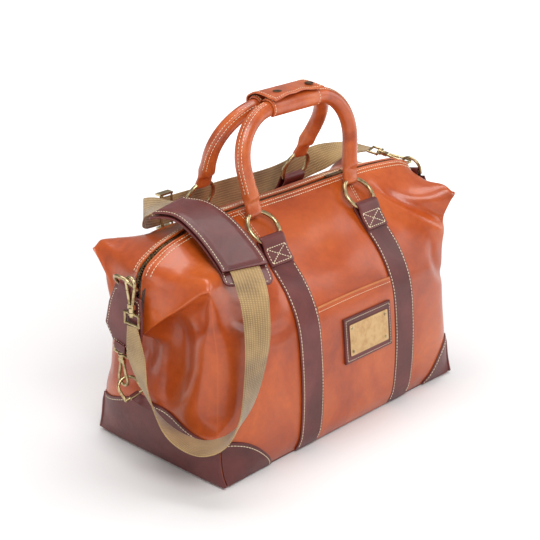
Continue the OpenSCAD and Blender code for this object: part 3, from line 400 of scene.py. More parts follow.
def leather(name, deep, mid, pale, rough=0.34, coat=0.5, grain=900.0, bump=0.10, cloud=9.0):
    m, tree, b, co = base_material(name)
    link = tree.links.new
    big = node(tree, "ShaderNodeTexNoise", Scale=cloud, Detail=5.0, Roughness=0.62, Distortion=0.6)
    fine = node(tree, "ShaderNodeTexNoise", Scale=cloud * 14, Detail=6.0, Roughness=0.7)
    link(co.outputs["Object"], big.inputs["Vector"])
    link(co.outputs["Object"], fine.inputs["Vector"])
    colour = ramp(tree, big.outputs["Fac"], [(0.28, linear(deep)), (0.5, linear(mid)), (0.74, linear(pale))])
    fleck = ramp(tree, fine.outputs["Fac"], [(0.3, (0.80, 0.78, 0.76, 1)), (0.62, (1, 1, 1, 1))])
    tint = node(tree, "ShaderNodeMix", data_type="RGBA", blend_type="MULTIPLY")
    tint.inputs[0].default_value = 0.7
    link(colour.outputs["Color"], tint.inputs[6])
    link(fleck.outputs["Color"], tint.inputs[7])
    geo = tree.nodes.new("ShaderNodeNewGeometry")
    worn = ramp(tree, geo.outputs["Pointiness"], [(0.50, (0, 0, 0, 1)), (0.58, (1, 1, 1, 1))])
    wear = node(tree, "ShaderNodeMix", data_type="RGBA", blend_type="MIX")
    half = node(tree, "ShaderNodeMath", operation="MULTIPLY")
    half.inputs[1].default_value = 0.35
    link(worn.outputs["Color"], half.inputs[0])
    link(half.outputs[0], wear.inputs[0])
    link(tint.outputs[2], wear.inputs[6])
    wear.inputs[7].default_value = linear(pale)
    link(wear.outputs[2], b.inputs["Base Color"])
    cells = node(tree, "ShaderNodeTexVoronoi", feature="DISTANCE_TO_EDGE", Scale=grain)
    pores = node(tree, "ShaderNodeTexNoise", Scale=grain * 1.8, Detail=3.0)
    creases = node(tree, "ShaderNodeTexNoise", Scale=55.0, Detail=8.0, Roughness=0.72, Distortion=1.2)
    for n in (cells, pores, creases):
        link(co.outputs["Object"], n.inputs["Vector"])
    crack = ramp(tree, cells.outputs["Distance"], [(0.0, (0.2, 0.2, 0.2, 1)), (0.14, (1, 1, 1, 1))])
    b1 = node(tree, "ShaderNodeBump", Strength=bump, Distance=0.0002)
    b2 = node(tree, "ShaderNodeBump", Strength=bump * 1.1, Distance=0.0015)
    b3 = node(tree, "ShaderNodeBump", Strength=bump * 0.5, Distance=0.0001)
    link(creases.outputs["Fac"], b2.inputs["Height"])
    link(crack.outputs["Color"], b1.inputs["Height"])
    link(pores.outputs["Fac"], b3.inputs["Height"])
    link(b2.outputs[0], b1.inputs["Normal"])
    link(b1.outputs[0], b3.inputs["Normal"])
    link(b3.outputs[0], b.inputs["Normal"])
    gloss = node(tree, "ShaderNodeMapRange")
    gloss.inputs["From Min"].default_value, gloss.inputs["From Max"].default_value = 0.3, 0.7
    gloss.inputs["To Min"].default_value, gloss.inputs["To Max"].default_value = rough - 0.07, rough + 0.10
    link(fine.outputs["Fac"], gloss.inputs["Value"])
    link(gloss.outputs[0], b.inputs["Roughness"])
    b.inputs["Coat Weight"].default_value = coat
    b.inputs["Coat Roughness"].default_value = 0.15
    b.inputs["Coat IOR"].default_value = 1.45
    return m

def brass(name, colour, dark, rough=0.3):
    m, tree, b, co = base_material(name)
    link = tree.links.new
    patina = node(tree, "ShaderNodeTexNoise", Scale=120.0, Detail=6.0, Roughness=0.7)
    link(co.outputs["Object"], patina.inputs["Vector"])
    tone = ramp(tree, patina.outputs["Fac"], [(0.36, linear(dark)), (0.56, linear(colour))])
    link(tone.outputs["Color"], b.inputs["Base Color"])
    b.inputs["Metallic"].default_value = 1.0
    r = node(tree, "ShaderNodeMapRange")
    r.inputs["To Min"].default_value, r.inputs["To Max"].default_value = rough + 0.16, rough - 0.04
    link(patina.outputs["Fac"], r.inputs["Value"])
    link(r.outputs[0], b.inputs["Roughness"])
    scratch = node(tree, "ShaderNodeTexNoise", Scale=900.0, Detail=4.0)
    link(co.outputs["Object"], scratch.inputs["Vector"])
    bump = node(tree, "ShaderNodeBump", Strength=0.08, Distance=0.0002)
    link(scratch.outputs["Fac"], bump.inputs["Height"])
    link(bump.outputs[0], b.inputs["Normal"])
    return m

def woven(name, light, dark, across=1500.0, along_scale=560.0, rough=0.85, rib=0.5, use_uv=True):
    m, tree, b, co = base_material(name)
    link = tree.links.new
    source = co.outputs["UV"] if use_uv else co.outputs["Object"]
    def bands(direction, scale):
        w = node(tree, "ShaderNodeTexWave", wave_type="BANDS", bands_direction=direction, Scale=scale)
        w.inputs["Distortion"].default_value = 0.25
        link(source, w.inputs["Vector"])
        return w
    warp, weft = bands("X", across), bands("Y", along_scale)
    both = node(tree, "ShaderNodeMath", operation="MULTIPLY")
    link(warp.outputs["Fac"], both.inputs[0])
    link(weft.outputs["Fac"], both.inputs[1])
    wide = node(tree, "ShaderNodeTexNoise", Scale=26.0, Detail=5.0)
    link(co.outputs["Object"], wide.inputs["Vector"])
    tone = node(tree, "ShaderNodeMath", operation="ADD")
    part = node(tree, "ShaderNodeMath", operation="MULTIPLY")
    part.inputs[1].default_value = 0.45
    link(both.outputs[0], part.inputs[0])
    link(part.outputs[0], tone.inputs[0])
    link(wide.outputs["Fac"], tone.inputs[1])
    colour = ramp(tree, tone.outputs[0], [(0.35, linear(dark)), (0.85, linear(light))])
    link(colour.outputs["Color"], b.inputs["Base Color"])
    bump = node(tree, "ShaderNodeBump", Strength=rib, Distance=0.0005)
    link(both.outputs[0], bump.inputs["Height"])
    link(bump.outputs[0], b.inputs["Normal"])
    b.inputs["Roughness"].default_value = rough
    b.inputs["Sheen Weight"].default_value = 0.35
    return m

def plain(name, colour, rough, spec=0.4, grain=300.0):
    m, tree, b, co = base_material(name)
    link = tree.links.new
    n = node(tree, "ShaderNodeTexNoise", Scale=grain, Detail=4.0)
    link(co.outputs["Object"], n.inputs["Vector"])
    c = linear(colour)
    low = tuple(x * 0.82 for x in c[:3]) + (1,)
    tone = ramp(tree, n.outputs["Fac"], [(0.3, low), (0.7, c)])
    link(tone.outputs["Color"], b.inputs["Base Color"])
    bump = node(tree, "ShaderNodeBump", Strength=0.15, Distance=0.0003)
    link(n.outputs["Fac"], bump.inputs["Height"])
    link(bump.outputs[0], b.inputs["Normal"])
    b.inputs["Roughness"].default_value = rough
    b.inputs["Specular IOR Level"].default_value = spec
    return m

TAN = leather("tan_leather", (138, 48, 8), (180, 74, 16), (206, 98, 30), rough=0.38, coat=0.38)
TAN_TRIM = leather("tan_trim_leather", (150, 58, 16), (188, 84, 30), (212, 112, 50), rough=0.38, coat=0.4, cloud=22.0)
OX = leather("oxblood_leather", (72, 22, 20), (94, 34, 31), (118, 52, 48), rough=0.45, coat=0.16, bump=0.16, cloud=14.0)
EDGE = leather("tan_edge", (168, 84, 36), (192, 108, 54), (210, 136, 82), rough=0.45, coat=0.2, cloud=30.0)
BRASS = brass("antique_brass", (196, 178, 136), (130, 108, 72), rough=0.24)
PLATE = brass("brass_plate", (208, 174, 128), (192, 154, 108), rough=0.34)
SNAP = brass("dark_snap", (104, 84, 62), (58, 44, 34), rough=0.4)
KHAKI = woven("khaki_webbing", (186, 152, 100), (120, 94, 58), across=90.0, along_scale=150.0, rib=0.8)
TAPE = woven("zip_tape", (104, 70, 52), (58, 36, 26), across=300.0, along_scale=400.0)
CLOTH = woven("lining_cloth", (150, 128, 96), (110, 90, 62), across=300.0, along_scale=300.0, use_uv=False)
THREAD = plain("cream_thread", (246, 228, 194), 0.8)
BOARD = plain("board", (96, 76, 60), 0.9)
ROPE = plain("rope", (200, 186, 150), 0.9)

# ---------------------------------------------------------------- body leather
def dense(a, b, n):
    return np.linspace(a, b, n)

def leather_sheet(name, fn, us, vs, node_name, flip=False):
    U, V = np.meshgrid(us, vs)
    pts, faces = slab(fn(U, V, np.zeros_like(U)), fn(U, V, np.full_like(U, -2.0)), flip)
    return make(name, pts, faces, TAN, "bag", (node_name,), "tan_leather", smooth=50)

S_COLS = np.unique(np.r_[dense(-1, -0.88, 18), dense(-0.88, 0.88, 128), dense(0.88, 1, 18)])
T_ROWS = np.unique(np.r_[dense(0, 0.9, 100), dense(0.9, 1, 20)])
V_COLS = np.unique(np.r_[dense(-1, -0.75, 22), dense(-0.75, 0.75, 58), dense(0.75, 1, 22)])
E_ROWS = np.unique(np.r_[dense(0, 0.8, 70), dense(0.8, 1, 40)])
leather_sheet("front_leather", front, S_COLS, T_ROWS, "front_panel")
leather_sheet("back_leather", back, S_COLS, T_ROWS, "back_panel", flip=True)
left_end, right_end = end(-1), end(1)
leather_sheet("left_end_leather", left_end, V_COLS, E_ROWS, "left_gusset", flip=True)
leather_sheet("right_end_leather", right_end, V_COLS, E_ROWS, "right_gusset")

def lining_part(fn, us, vs, flip):
    U, V = np.meshgrid(us, vs)
    return slab(fn(U, V, np.full_like(U, -5.5)), fn(U, V, np.full_like(U, -6.2)), flip)

lining = [lining_part(front, dense(-0.93, 0.93, 50), dense(0.06, 0.93, 40), False),
          lining_part(back, dense(-0.93, 0.93, 50), dense(0.06, 0.93, 40), True),
          lining_part(left_end, dense(-0.84, 0.84, 24), dense(0.08, 0.9, 30), True),
          lining_part(right_end, dense(-0.84, 0.84, 24), dense(0.08, 0.9, 30), False)]
make("inner_lining", *join_parts(lining), CLOTH, "bag", ("lining",), "lining")

# ---------------------------------------------------------------- base, caps, patches, piping
cream = Thread("body_stitching", "bag", r=0.55)
base_mid = (RIGHT - LEFT) / 2
def base_outline(inset, n=26, r=18.0):
    """Rounded rectangle under the bag."""
    half_l, half_w = (LEFT + RIGHT) / 2 - 5 - inset, 105.5 - inset
    pts = []
    for cx, cy, start in ((1, 1, 0), (-1, 1, 90), (-1, -1, 180), (1, -1, 270)):
        for k in range(9):
            ang = math.radians(start + 90 * k / 8)
            pts.append((cx * (half_l - r) + r * math.cos(ang), cy * (half_w - r) + r * math.sin(ang)))
    return np.array(pts)

def base_rings():
    rings = []
    for inset, z in ((30, 0.6), (6, 0.2), (1.6, 0.0), (0.4, 0.7), (0.0, 1.6), (0.5, 2.8), (2.5, 3.4), (30, 3.4)):
        o = base_outline(inset)
        rings.append(np.c_[o[:, 0] + base_mid, o[:, 1], np.full(len(o), z)])
    n = len(rings[0])
    pts = np.concatenate(rings)
    faces = grid_faces(len(rings), n, 0, False, True)
    faces += [tuple(range(n))[::-1], tuple((len(rings) - 1) * n + k for k in range(n))]
    return pts, faces

make("base_leather", *base_rings(), OX, "bag", ("base_panel",), "dark_leather")

def cap_top(v):
    return mix(0.40, 0.285, ease((np.abs(v) - 0.1) / 0.9))

for side, at, name in ((-1, left_end, "left"), (1, right_end, "right")):
    def cap(u, w, o, at=at):
        v = 2 * u - 1
        return at(v, w * cap_top(v), o)
    flip = side < 0
    patch(name + "_cap_leather", cap, soft_steps(190, 60, False, False), soft_steps(100, 30, False, True),
          0.1, 2.0, OX, "bag", (name + "_end_cap",), flip=flip)
    us = dense(0.035, 0.965, 160)
    pts, faces = tube(cap(us, np.full_like(us, 0.99), np.full_like(us, 1.2)), 1.6, 10)
    make(name + "_cap_roll", pts, faces, OX, "bag", slot="dark_leather")
    cream.on(cap, us, np.full_like(us, 0.955), lift=2.15)

REACH, RISE = 0.345, 0.215
for wall_fn, wall_name, node_name in ((front, "front", "front_corner_patches"), (back, "back", "back_corner_patches")):
    parts = []
    for side in (-1, 1):
        def corner(u, w, o, side=side, fn=wall_fn):
            ang = u * math.pi / 2
            return fn(side * (1 - 0.012 - REACH * w * np.sin(ang)), RISE * w * np.cos(ang), o)
        U, V = np.meshgrid(soft_steps(120, 36, False, False)[0], soft_steps(80, 24, False, True)[0][1:])
        up = np.meshgrid(soft_steps(120, 36, False, False)[1], soft_steps(80, 24, False, True)[1][1:])[1]
        parts.append(slab(corner(U, V, 0.1 + 2.0 * up), corner(U, V, np.full_like(U, 0.1)),
                          flip=(side > 0) == (wall_name == "back")))
        us = dense(0.02, 0.985, 90)
        cream.on(corner, us, np.full_like(us, 0.95), lift=2.15)
    make(wall_name + "_corner_leather", *join_parts(parts), OX, "bag", (node_name,), "dark_leather")

parts = []
for fn, out in ((front, -1.0), (back, 1.0)):
    for side in (-1, 1):
        ts = dense(0.004, 0.212, 40)
        path = fn(np.full_like(ts, float(side)), ts, np.full_like(ts, 1.0)) + [side * 1.0, out * 0.6, 0]
        path[:, 2] = np.maximum(path[:, 2], 2.6)
        parts.append(tube(path, mix(1.9, 0.5, ease((ts - 0.18) / 0.032)), 10, normal=(1, 0, 0)))
make("corner_cords", *join_parts(parts), OX, "bag", ("corner_piping",), "dark_leather")

# ---------------------------------------------------------------- straps, folded round the rings
STRAP_X, STRAP_W, STRAP_T = 87.0, 38.0, 2.4
FRONT_LOW, FRONT_TILT = np.array([-53.24, 251.33]), math.radians(45)
BACK_LOW, BACK_TILT = np.array([78.93, 258.70]), math.radians(70)

def strap_line(x, back_side):
    """Side view of a strap: up the panel, over the ring's lower arc and down again over itself."""
    fn = back if back_side else front
    s = x / LEFT
    low, tilt = (BACK_LOW, BACK_TILT) if back_side else (FRONT_LOW, FRONT_TILT)
    out = -1.0 if not back_side else 1.0
    top_t = 0.795 if not back_side else 0.805
    def row(ts, o):
        ts = np.asarray(ts, float)
        return fn(np.full_like(ts, s), ts, np.broadcast_to(np.asarray(o, float), ts.shape).copy())[:, 1:]
    up = row(dense(0.012, top_t, 60), mix(1.3, 1.6, dense(0, 1, 60)))
    ahead = np.array([-out * math.cos(tilt), math.sin(tilt)])
    away = np.array([out * math.sin(tilt), math.cos(tilt)])
    centre = low + ahead * 6.5
    turn = [centre + 4.6 * (away * math.cos(a) + ahead * math.sin(a)) for a in np.radians(dense(205, -15, 16)[::1])]
    down = row(dense(top_t - 0.022, top_t - 0.075, 16), mix(5.6, 4.0, dense(0, 1, 16)))
    return up, np.array(turn), down

def smooth_line(points, step=1.2, rounds=10):
    d = np.r_[0, np.cumsum(np.linalg.norm(np.diff(points, axis=0), axis=1))]
    q = np.arange(0, d[-1], step)
    p = np.stack([np.interp(q, d, points[:, k]) for k in range(points.shape[1])], axis=-1)
    for _ in range(rounds):
        p[1:-1] = (p[:-2] + 2 * p[1:-1] + p[2:]) / 4
    return p

def ribbon(path, width, thick, normal, across, edge=0.55, cols=9, crown=0.0):
    """Band with rounded edges along path; normal and across are unit vectors for each point."""
    shares = np.linspace(-1, 1, cols)
    shares = np.r_[-1, -1 + edge * 2 / np.max(width) * 0.5, -1 + edge * 4 / np.max(width), shares[1:-1], 1 - edge * 4 / np.max(width),
                   1 - edge * 2 / np.max(width) * 0.5, 1]
    full = np.ones(len(shares))
    full[[0, -1]], full[[1, -2]], full[[2, -3]] = 0.35, 0.75, 0.97
    w = np.broadcast_to(np.asarray(width, float), (len(path),))[:, None, None] / 2
    centre = path[:, None] + across[:, None] * shares[None, :, None] * w
    bow = crown * (1 - shares ** 2)
    outer = centre + normal[:, None] * ((thick / 2) * full + bow)[None, :, None]
    inner = centre - normal[:, None] * ((thick / 2) * full - bow * 0.5)[None, :, None]
    return slab(outer, inner), shares

straps = {"left": -STRAP_X, "right": STRAP_X}
for name, x in straps.items():
    parts = []
    for back_side in (False, True):
        up, turn, down = strap_line(x, back_side)
        p2 = smooth_line(np.concatenate([up, turn, down]), 1.4, 5)
        path = np.c_[np.full(len(p2), x), p2]
        d = unit(np.gradient(path, axis=0))
        out = -1.0 if not back_side else 1.0
        across = np.tile([1.0, 0.0, 0.0], (len(path), 1))
        normal = np.cross(across, d) * (1 if not back_side else -1)
        (pts, faces), _ = ribbon(path, STRAP_W, STRAP_T, normal, across, cols=11)
        if back_side:
            faces = [f[::-1] for f in faces]
        parts.append((pts, faces))
        length = np.r_[0, np.cumsum(np.linalg.norm(np.diff(path, axis=0), axis=1))]
        body_end = int(np.argmax(length > np.sum(np.linalg.norm(np.diff(up, axis=0), axis=1)) - 28))
        lift = normal * (STRAP_T / 2 + 0.02)
        for off in (-1, 1):
            cream.row(path[4:body_end] + lift[4:body_end] + [off * (STRAP_W / 2 - 2.6), 0, 0], normal[4:body_end])
        fold = path[-int(24 / 1.4):-2]
        fold_n = -normal[-int(24 / 1.4):-2]
        half = STRAP_W / 2 - 3.2
        side_l, side_r = fold + fold_n * 1.25 + [-half, 0, 0], fold + fold_n * 1.25 + [half, 0, 0]
        for row_pts in (side_l, side_r):
            cream.row(row_pts, fold_n, pitch=3.6, run=2.7)
        for k in (0, -1):
            xs = dense(-half, half, 12)
            cream.row(np.array([fold[k] + fold_n[k] * 1.25 + [q, 0, 0] for q in xs]), np.tile(fold_n[k], (12, 1)), pitch=3.6, run=2.7)
        share = dense(0, 1, len(fold))
        for sign in (-1, 1):
            cream.row(fold + fold_n * 1.25 + np.c_[sign * mix(-half, half, share), np.zeros(len(fold)), np.zeros(len(fold))],
                      fold_n, pitch=3.6, run=2.7)
    make(name + "_strap_leather", *join_parts(parts), OX, "bag", (name + "_strap",), "dark_leather")

# ---------------------------------------------------------------- pocket, bound edge and plate patch
PLATE_X, PLATE_Z, FACE_Y = 13.0, 124.5, 119.1
pocket_half = (STRAP_X - STRAP_W / 2 - 1) / LEFT
POCKET_TOP = 0.53
def pocket(u, w, o):
    s = (2 * u - 1) * pocket_half * 1.12
    return front(s, w * POCKET_TOP + 0.004 * np.sin(u * math.pi) * w, o)
patch("pocket_leather", pocket, soft_steps(150, 50, False, False), soft_steps(180, 60, False, False),
      0.15, 1.7, TAN, "bag", ("front_pocket",), "tan_leather")
us = dense(0.055, 0.945, 90)
pts, faces = tube(pocket(us, np.full_like(us, 1.004), np.full_like(us, 1.5)), 1.35, 10)
make("pocket_bound_edge", pts, faces, EDGE, "bag", ("pocket_binding",), "tan_edge")
cream.on(pocket, us, np.full_like(us, 0.976), lift=2.0, pitch=3.6, run=2.6, r=0.34)

plate_lo, plate_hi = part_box("plate_patch")
tilt = math.atan2((plate_hi.y - plate_lo.y) / MM - 1.6, (plate_hi.z - plate_lo.z) / MM)
def plate_patch(u, w, o):
    x, z = PLATE_X + (u - 0.5) * 88, (w - 0.5) * 58
    return vec(x, -FACE_Y + z * math.sin(tilt) - o * math.cos(tilt), PLATE_Z + z * math.cos(tilt) + o * math.sin(tilt))
patch("plate_backing", plate_patch, soft_steps(88, 30), soft_steps(58, 20), -1.6, 3.2, OX, "bag", ("plate_patch",))
edge_u, edge_w = 3.0 / 88, 3.0 / 58
for us, ws in ((dense(edge_u, 1 - edge_u, 40), edge_w), (dense(edge_u, 1 - edge_u, 40), 1 - edge_w),
               (edge_u, dense(edge_w, 1 - edge_w, 30)), (1 - edge_u, dense(edge_w, 1 - edge_w, 30))):
    cream.on(plate_patch, us, ws, lift=1.65, pitch=3.4, run=2.4, r=0.36)

# ---------------------------------------------------------------- zip
def zip_line(s, y, drop):
    z = zip_at(s)
    return vec(np.sign(s) * z[..., 0], y, z[..., 2] - drop)

tape_parts, tooth_parts = [], []
zs = dense(-0.965, 0.965, 220)
for out in (-1, 1):
    shares = dense(0, 1, 9)
    S, W = np.meshgrid(zs, shares)
    y = out * mix(11.0, 2.4, W)
    drop = 3.4 + 8.0 * (1 - W) ** 1.5 * np.ones_like(S)
    outer, inner = zip_line(S, y, drop), zip_line(S, y, drop + 0.8)
    tape_parts.append(slab(outer, inner, flip=out > 0))
tp, tf = join_parts(tape_parts)
tape_uv = np.c_[tp[:, 1], tp[:, 0]] * MM
make("zip_cloth", tp, tf, TAPE, "bag", ("zip_tapes",), "zip_tape", uv=tape_uv)

TOOTH = np.array([[-0.5, -0.5, 0], [0.5, -0.5, 0], [0.5, 0.5, 0], [-0.5, 0.5, 0],
                  [-0.34, -0.36, 1], [0.34, -0.36, 1], [0.34, 0.36, 1], [-0.34, 0.36, 1]])
TOOTH_FACES = [(3, 2, 1, 0), (4, 5, 6, 7), (0, 1, 5, 4), (1, 2, 6, 5), (2, 3, 7, 6), (3, 0, 4, 7)]
def teeth():
    line = zip_line(dense(-0.955, 0.955, 900), 0.0, 3.0)
    d = np.r_[0, np.cumsum(np.linalg.norm(np.diff(line, axis=0), axis=1))]
    parts = []
    for k, q in enumerate(np.arange(1.5, d[-1] - 1.5, 1.5)):
        p = np.array([np.interp(q, d, line[:, i]) for i in range(3)])
        p2 = np.array([np.interp(q + 0.5, d, line[:, i]) for i in range(3)])
        t = unit(p2 - p)
        up = unit(np.cross(t, [0, 1, 0])) * -1
        side = 1 if k % 2 else -1
        c = p + np.array([0, side * 1.15, 0]) - up * 1.6
        size = TOOTH * [1.35, 3.6, 2.2]
        parts.append((c + size[:, :1] * t + size[:, 1:2] * np.array([0, 1.0, 0]) + size[:, 2:] * up, TOOTH_FACES))
    return join_parts(parts)
ZIP_METAL = brass("zip_metal", (150, 120, 84), (84, 62, 44), rough=0.36)
make("zip_teeth", *teeth(), ZIP_METAL, "bag", ("zip_chain",), "zip_metal", smooth=20)

for fn in (front, back):
    for t_row in (0.985, 0.965):
        ss = dense(-0.93, 0.93, 420)
        cream.on(fn, ss, np.full_like(ss, t_row), lift=0.25, pitch=4.0, run=3.0, r=0.5)
    for x in (-1, 1):
        for gap in (-1.6, 1.6):
            ts = dense(0.845, 0.985, 40)
            cream.on(fn, np.full_like(ts, (x * STRAP_X - 2 + gap) / LEFT), ts, lift=0.15, pitch=3.8, run=2.8, r=0.34)
# piping-like roll of folded leather along each side of the zip
roll = []
for fn in (front, back):
    ss = dense(-0.94, 0.94, 300)
    roll.append(tube(fn(ss, np.full_like(ss, 0.997), np.full_like(ss, -1.0)), 1.5, 8))
make("zip_edge_rolls", *join_parts(roll), TAN, "bag", slot="tan_leather")

# ---------------------------------------------------------------- end tabs, their loops, and the chapes
TAB_X, TAB_Y, TAB_TOP, SLANT, TAB_LIFT = -260.4, 7.0, 224.0, math.radians(12), 26.0
TAB_DROP = [0, 26, 56, 72]
TAB_HALF = [22, 29, 31, 14]
TONGUE_Y, TONGUE_Z = TAB_Y + 77 * math.sin(SLANT), TAB_TOP - 77 * math.cos(SLANT)
TONGUE_TILT = math.radians(7.5)

def turned(p):
    return p * [-1, -1, 1] - [SLACK, 0, -TAB_LIFT]

def slanted(y, z, tilt_y=SLANT):
    return TAB_Y + y * math.cos(tilt_y) - z * math.sin(tilt_y), TAB_TOP + y * math.sin(tilt_y) + z * math.cos(tilt_y)

for name, place in (("left", lambda p: p), ("right", turned)):
    def tab(u, w, o, place=place):
        drop = w * 72
        half = np.interp(drop, TAB_DROP, TAB_HALF)
        y0, z0 = (2 * u - 1) * half, -drop
        y, z = slanted(y0, z0)
        bow = 1.5 * (1 - (2 * u - 1) ** 2) * np.sin(np.clip(w, 0, 1) * math.pi) - 1.0 * np.clip(np.abs(2 * u - 1) - 0.6, 0, 1)
        return place(vec(TAB_X - o - bow, y, z))
    parts = []
    U, V = np.meshgrid(*[soft_steps(58, 24)[0], soft_steps(72, 26)[0]])
    H = np.minimum(*np.meshgrid(soft_steps(58, 24)[1], soft_steps(72, 26)[1]))
    parts.append(slab(tab(U, V, 2.6 * H), tab(U, V, np.full_like(U, 0.0)), flip=True))
    def loop(cy, cz, lean, half_w, r, leg, down):
        """Leather folded round a bar: both leaves and the turn between them."""
        line = [(r, -leg)] + [(r * math.cos(a), r * math.sin(a)) for a in np.radians(dense(0, 180, 16))] + [(-r, -leg)]
        line = np.array(line) * [1, -1 if down else 1]
        line = smooth_line(line, 0.8, 2)
        pts = np.c_[TAB_X - 1.1 + line[:, 0], np.zeros(len(line)), line[:, 1]]
        c, s_ = math.cos(lean), math.sin(lean)
        world = np.c_[pts[:, 0], cy + pts[:, 1] * c - pts[:, 2] * s_, cz + pts[:, 1] * s_ + pts[:, 2] * c]
        world = place(world)
        d = unit(np.gradient(world, axis=0))
        across = np.tile(place(np.array([[0, c, s_]])) - place(np.array([[0, 0.0, 0.0]])), (len(world), 1))
        normal = unit(np.cross(across, d))
        (p, f), _ = ribbon(world, half_w * 2, 1.9, normal, across, cols=7)
        return p, f
    parts.append(loop(TAB_Y, TAB_TOP + 7, SLANT, 11.5, 3.4, 12, False))
    parts.append(loop(TONGUE_Y, TONGUE_Z, SLANT * 0.8, 9.0, 2.9, 9, True))
    make(name + "_tab_leather", *join_parts(parts), OX, "bag", (name + "_end_tab",), "dark_leather")
    inset_u, inset_w = 0.07, 0.055
    for us, ws in ((dense(inset_u, 1 - inset_u, 40), inset_w), (dense(inset_u + 0.04, 1 - inset_u - 0.04, 30), 0.955),
                   (inset_u, dense(inset_w, 0.94, 50)), (1 - inset_u, dense(inset_w, 0.94, 50))):
        cream.on(tab, us, ws, lift=2.5, pitch=3.8, run=2.8, r=0.4)

BASE_TURN = math.radians(60)
chape_parts = []
for bar, roll_deg, place in (((-255.5, 9.4, 91.1), 51, lambda p: p),
                             ((-255.5, 22.8, 108), 12, lambda p: p * [-1, -1, 1] - [SLACK, 0, 0])):
    bar, roll = np.array(bar, float), math.radians(roll_deg)
    down = np.array([0, -math.sin(roll), -math.cos(roll)])
    bar_dir = np.array([-math.sin(BASE_TURN), math.cos(BASE_TURN) * math.cos(roll), -math.cos(BASE_TURN) * math.sin(roll)])
    sewn = np.array([0, math.cos(roll), -math.sin(roll)])
    out = unit(np.cross(down, bar_dir))
    turn = [bar + 3.1 * (out * math.cos(a) + -down * math.sin(a)) for a in np.radians(dense(0, 200, 14))]
    foot = [np.array([-247.0, bar[1], bar[2]]) + down * 12, np.array([-244.0, bar[1], bar[2]]) + down * 24]
    path = np.array([foot[1] + [-1.5, 0, 0], foot[0] + [-2.5, 0, 0]] + turn)
    path = smooth_line(path, 1.0, 6)
    share = dense(0, 1, len(path))[:, None]
    across = unit(mix(sewn, bar_dir, ease(share * 1.6)))
    d = unit(np.gradient(path, axis=0))
    across = unit(across - d * np.sum(across * d, axis=1, keepdims=True))
    normal = np.cross(across, d)
    world = place(path)
    (p, f), _ = ribbon(world, 12.0, 1.8, place(path + normal) - world, place(path + across) - world, cols=7)
    chape_parts.append((p, f))
make("ring_chapes", *join_parts(chape_parts), OX, "bag", ("base_ring_chapes",), "dark_leather")

# ---------------------------------------------------------------- handles
LEG_X, LEG_FROM, BEND, SPREAD = 88.5, 14.0, 56.0, math.radians(10)
WRAP_X, WRAP_L = -3.5, 84.0
def handle_line(rise, n=150):
    leg = (rise - LEG_FROM - BEND * (1 + math.sin(SPREAD))) / math.cos(SPREAD)
    flat = LEG_X + leg * math.sin(SPREAD) - BEND * math.cos(SPREAD)
    turn = math.pi / 2 + SPREAD
    half = []
    half += [(flat * q, rise) for q in dense(0, 0.96, 8)]
    half += [(flat + BEND * math.sin(a), rise - BEND * (1 - math.cos(a))) for a in dense(0, turn, 30)]
    ex, ez = half[-1]
    half += [(ex - leg * q * math.sin(SPREAD), ez - leg * q * math.cos(SPREAD)) for q in dense(0.12, 1, 10)]
    half += [(LEG_X - 1.5 * q, LEG_FROM - 20.5 * q) for q in dense(0.08, 1, 14)]
    half = np.array(half)
    full = np.concatenate([half[::-1][:-1] * [-1, 1], half])
    return smooth_line(full, 1.6, 26)

def on_ring(top, lean, p, mirrored):
    y = -top[0] + p[..., 1] * math.cos(lean) + p[..., 2] * math.sin(lean)
    z = top[1] - p[..., 1] * math.sin(lean) + p[..., 2] * math.cos(lean)
    return vec(p[..., 0], -y if mirrored else y, z)

HANDLES = {
    "front": dict(top=(22.1262, 282.437), lean=math.radians(9.08993), rise=116.0, mirrored=False),
    "back": dict(top=(63.8819, 300.041), lean=math.radians(26.4363), rise=108.0, mirrored=True),
}
SIDES = 36
def handle_section(path2):
    """Half widths of the rolled leather in and across the handle's plane, by height above the ring."""
    z = path2[:, 1]
    flat = ease((19.5 - z) / 8)
    wide, thick = mix(9.5, 11.2, flat), mix(9.5, 4.6, flat)
    thick = mix(thick, 5.7, hump(z + 0.3, 5.0) * (z < 8))
    tip = np.clip((z + 6.5) / 5.0, 0.0, 1.0)
    cap = np.sqrt(np.clip(1 - (1 - tip) ** 2, 0.01, 1))
    return wide, thick * cap

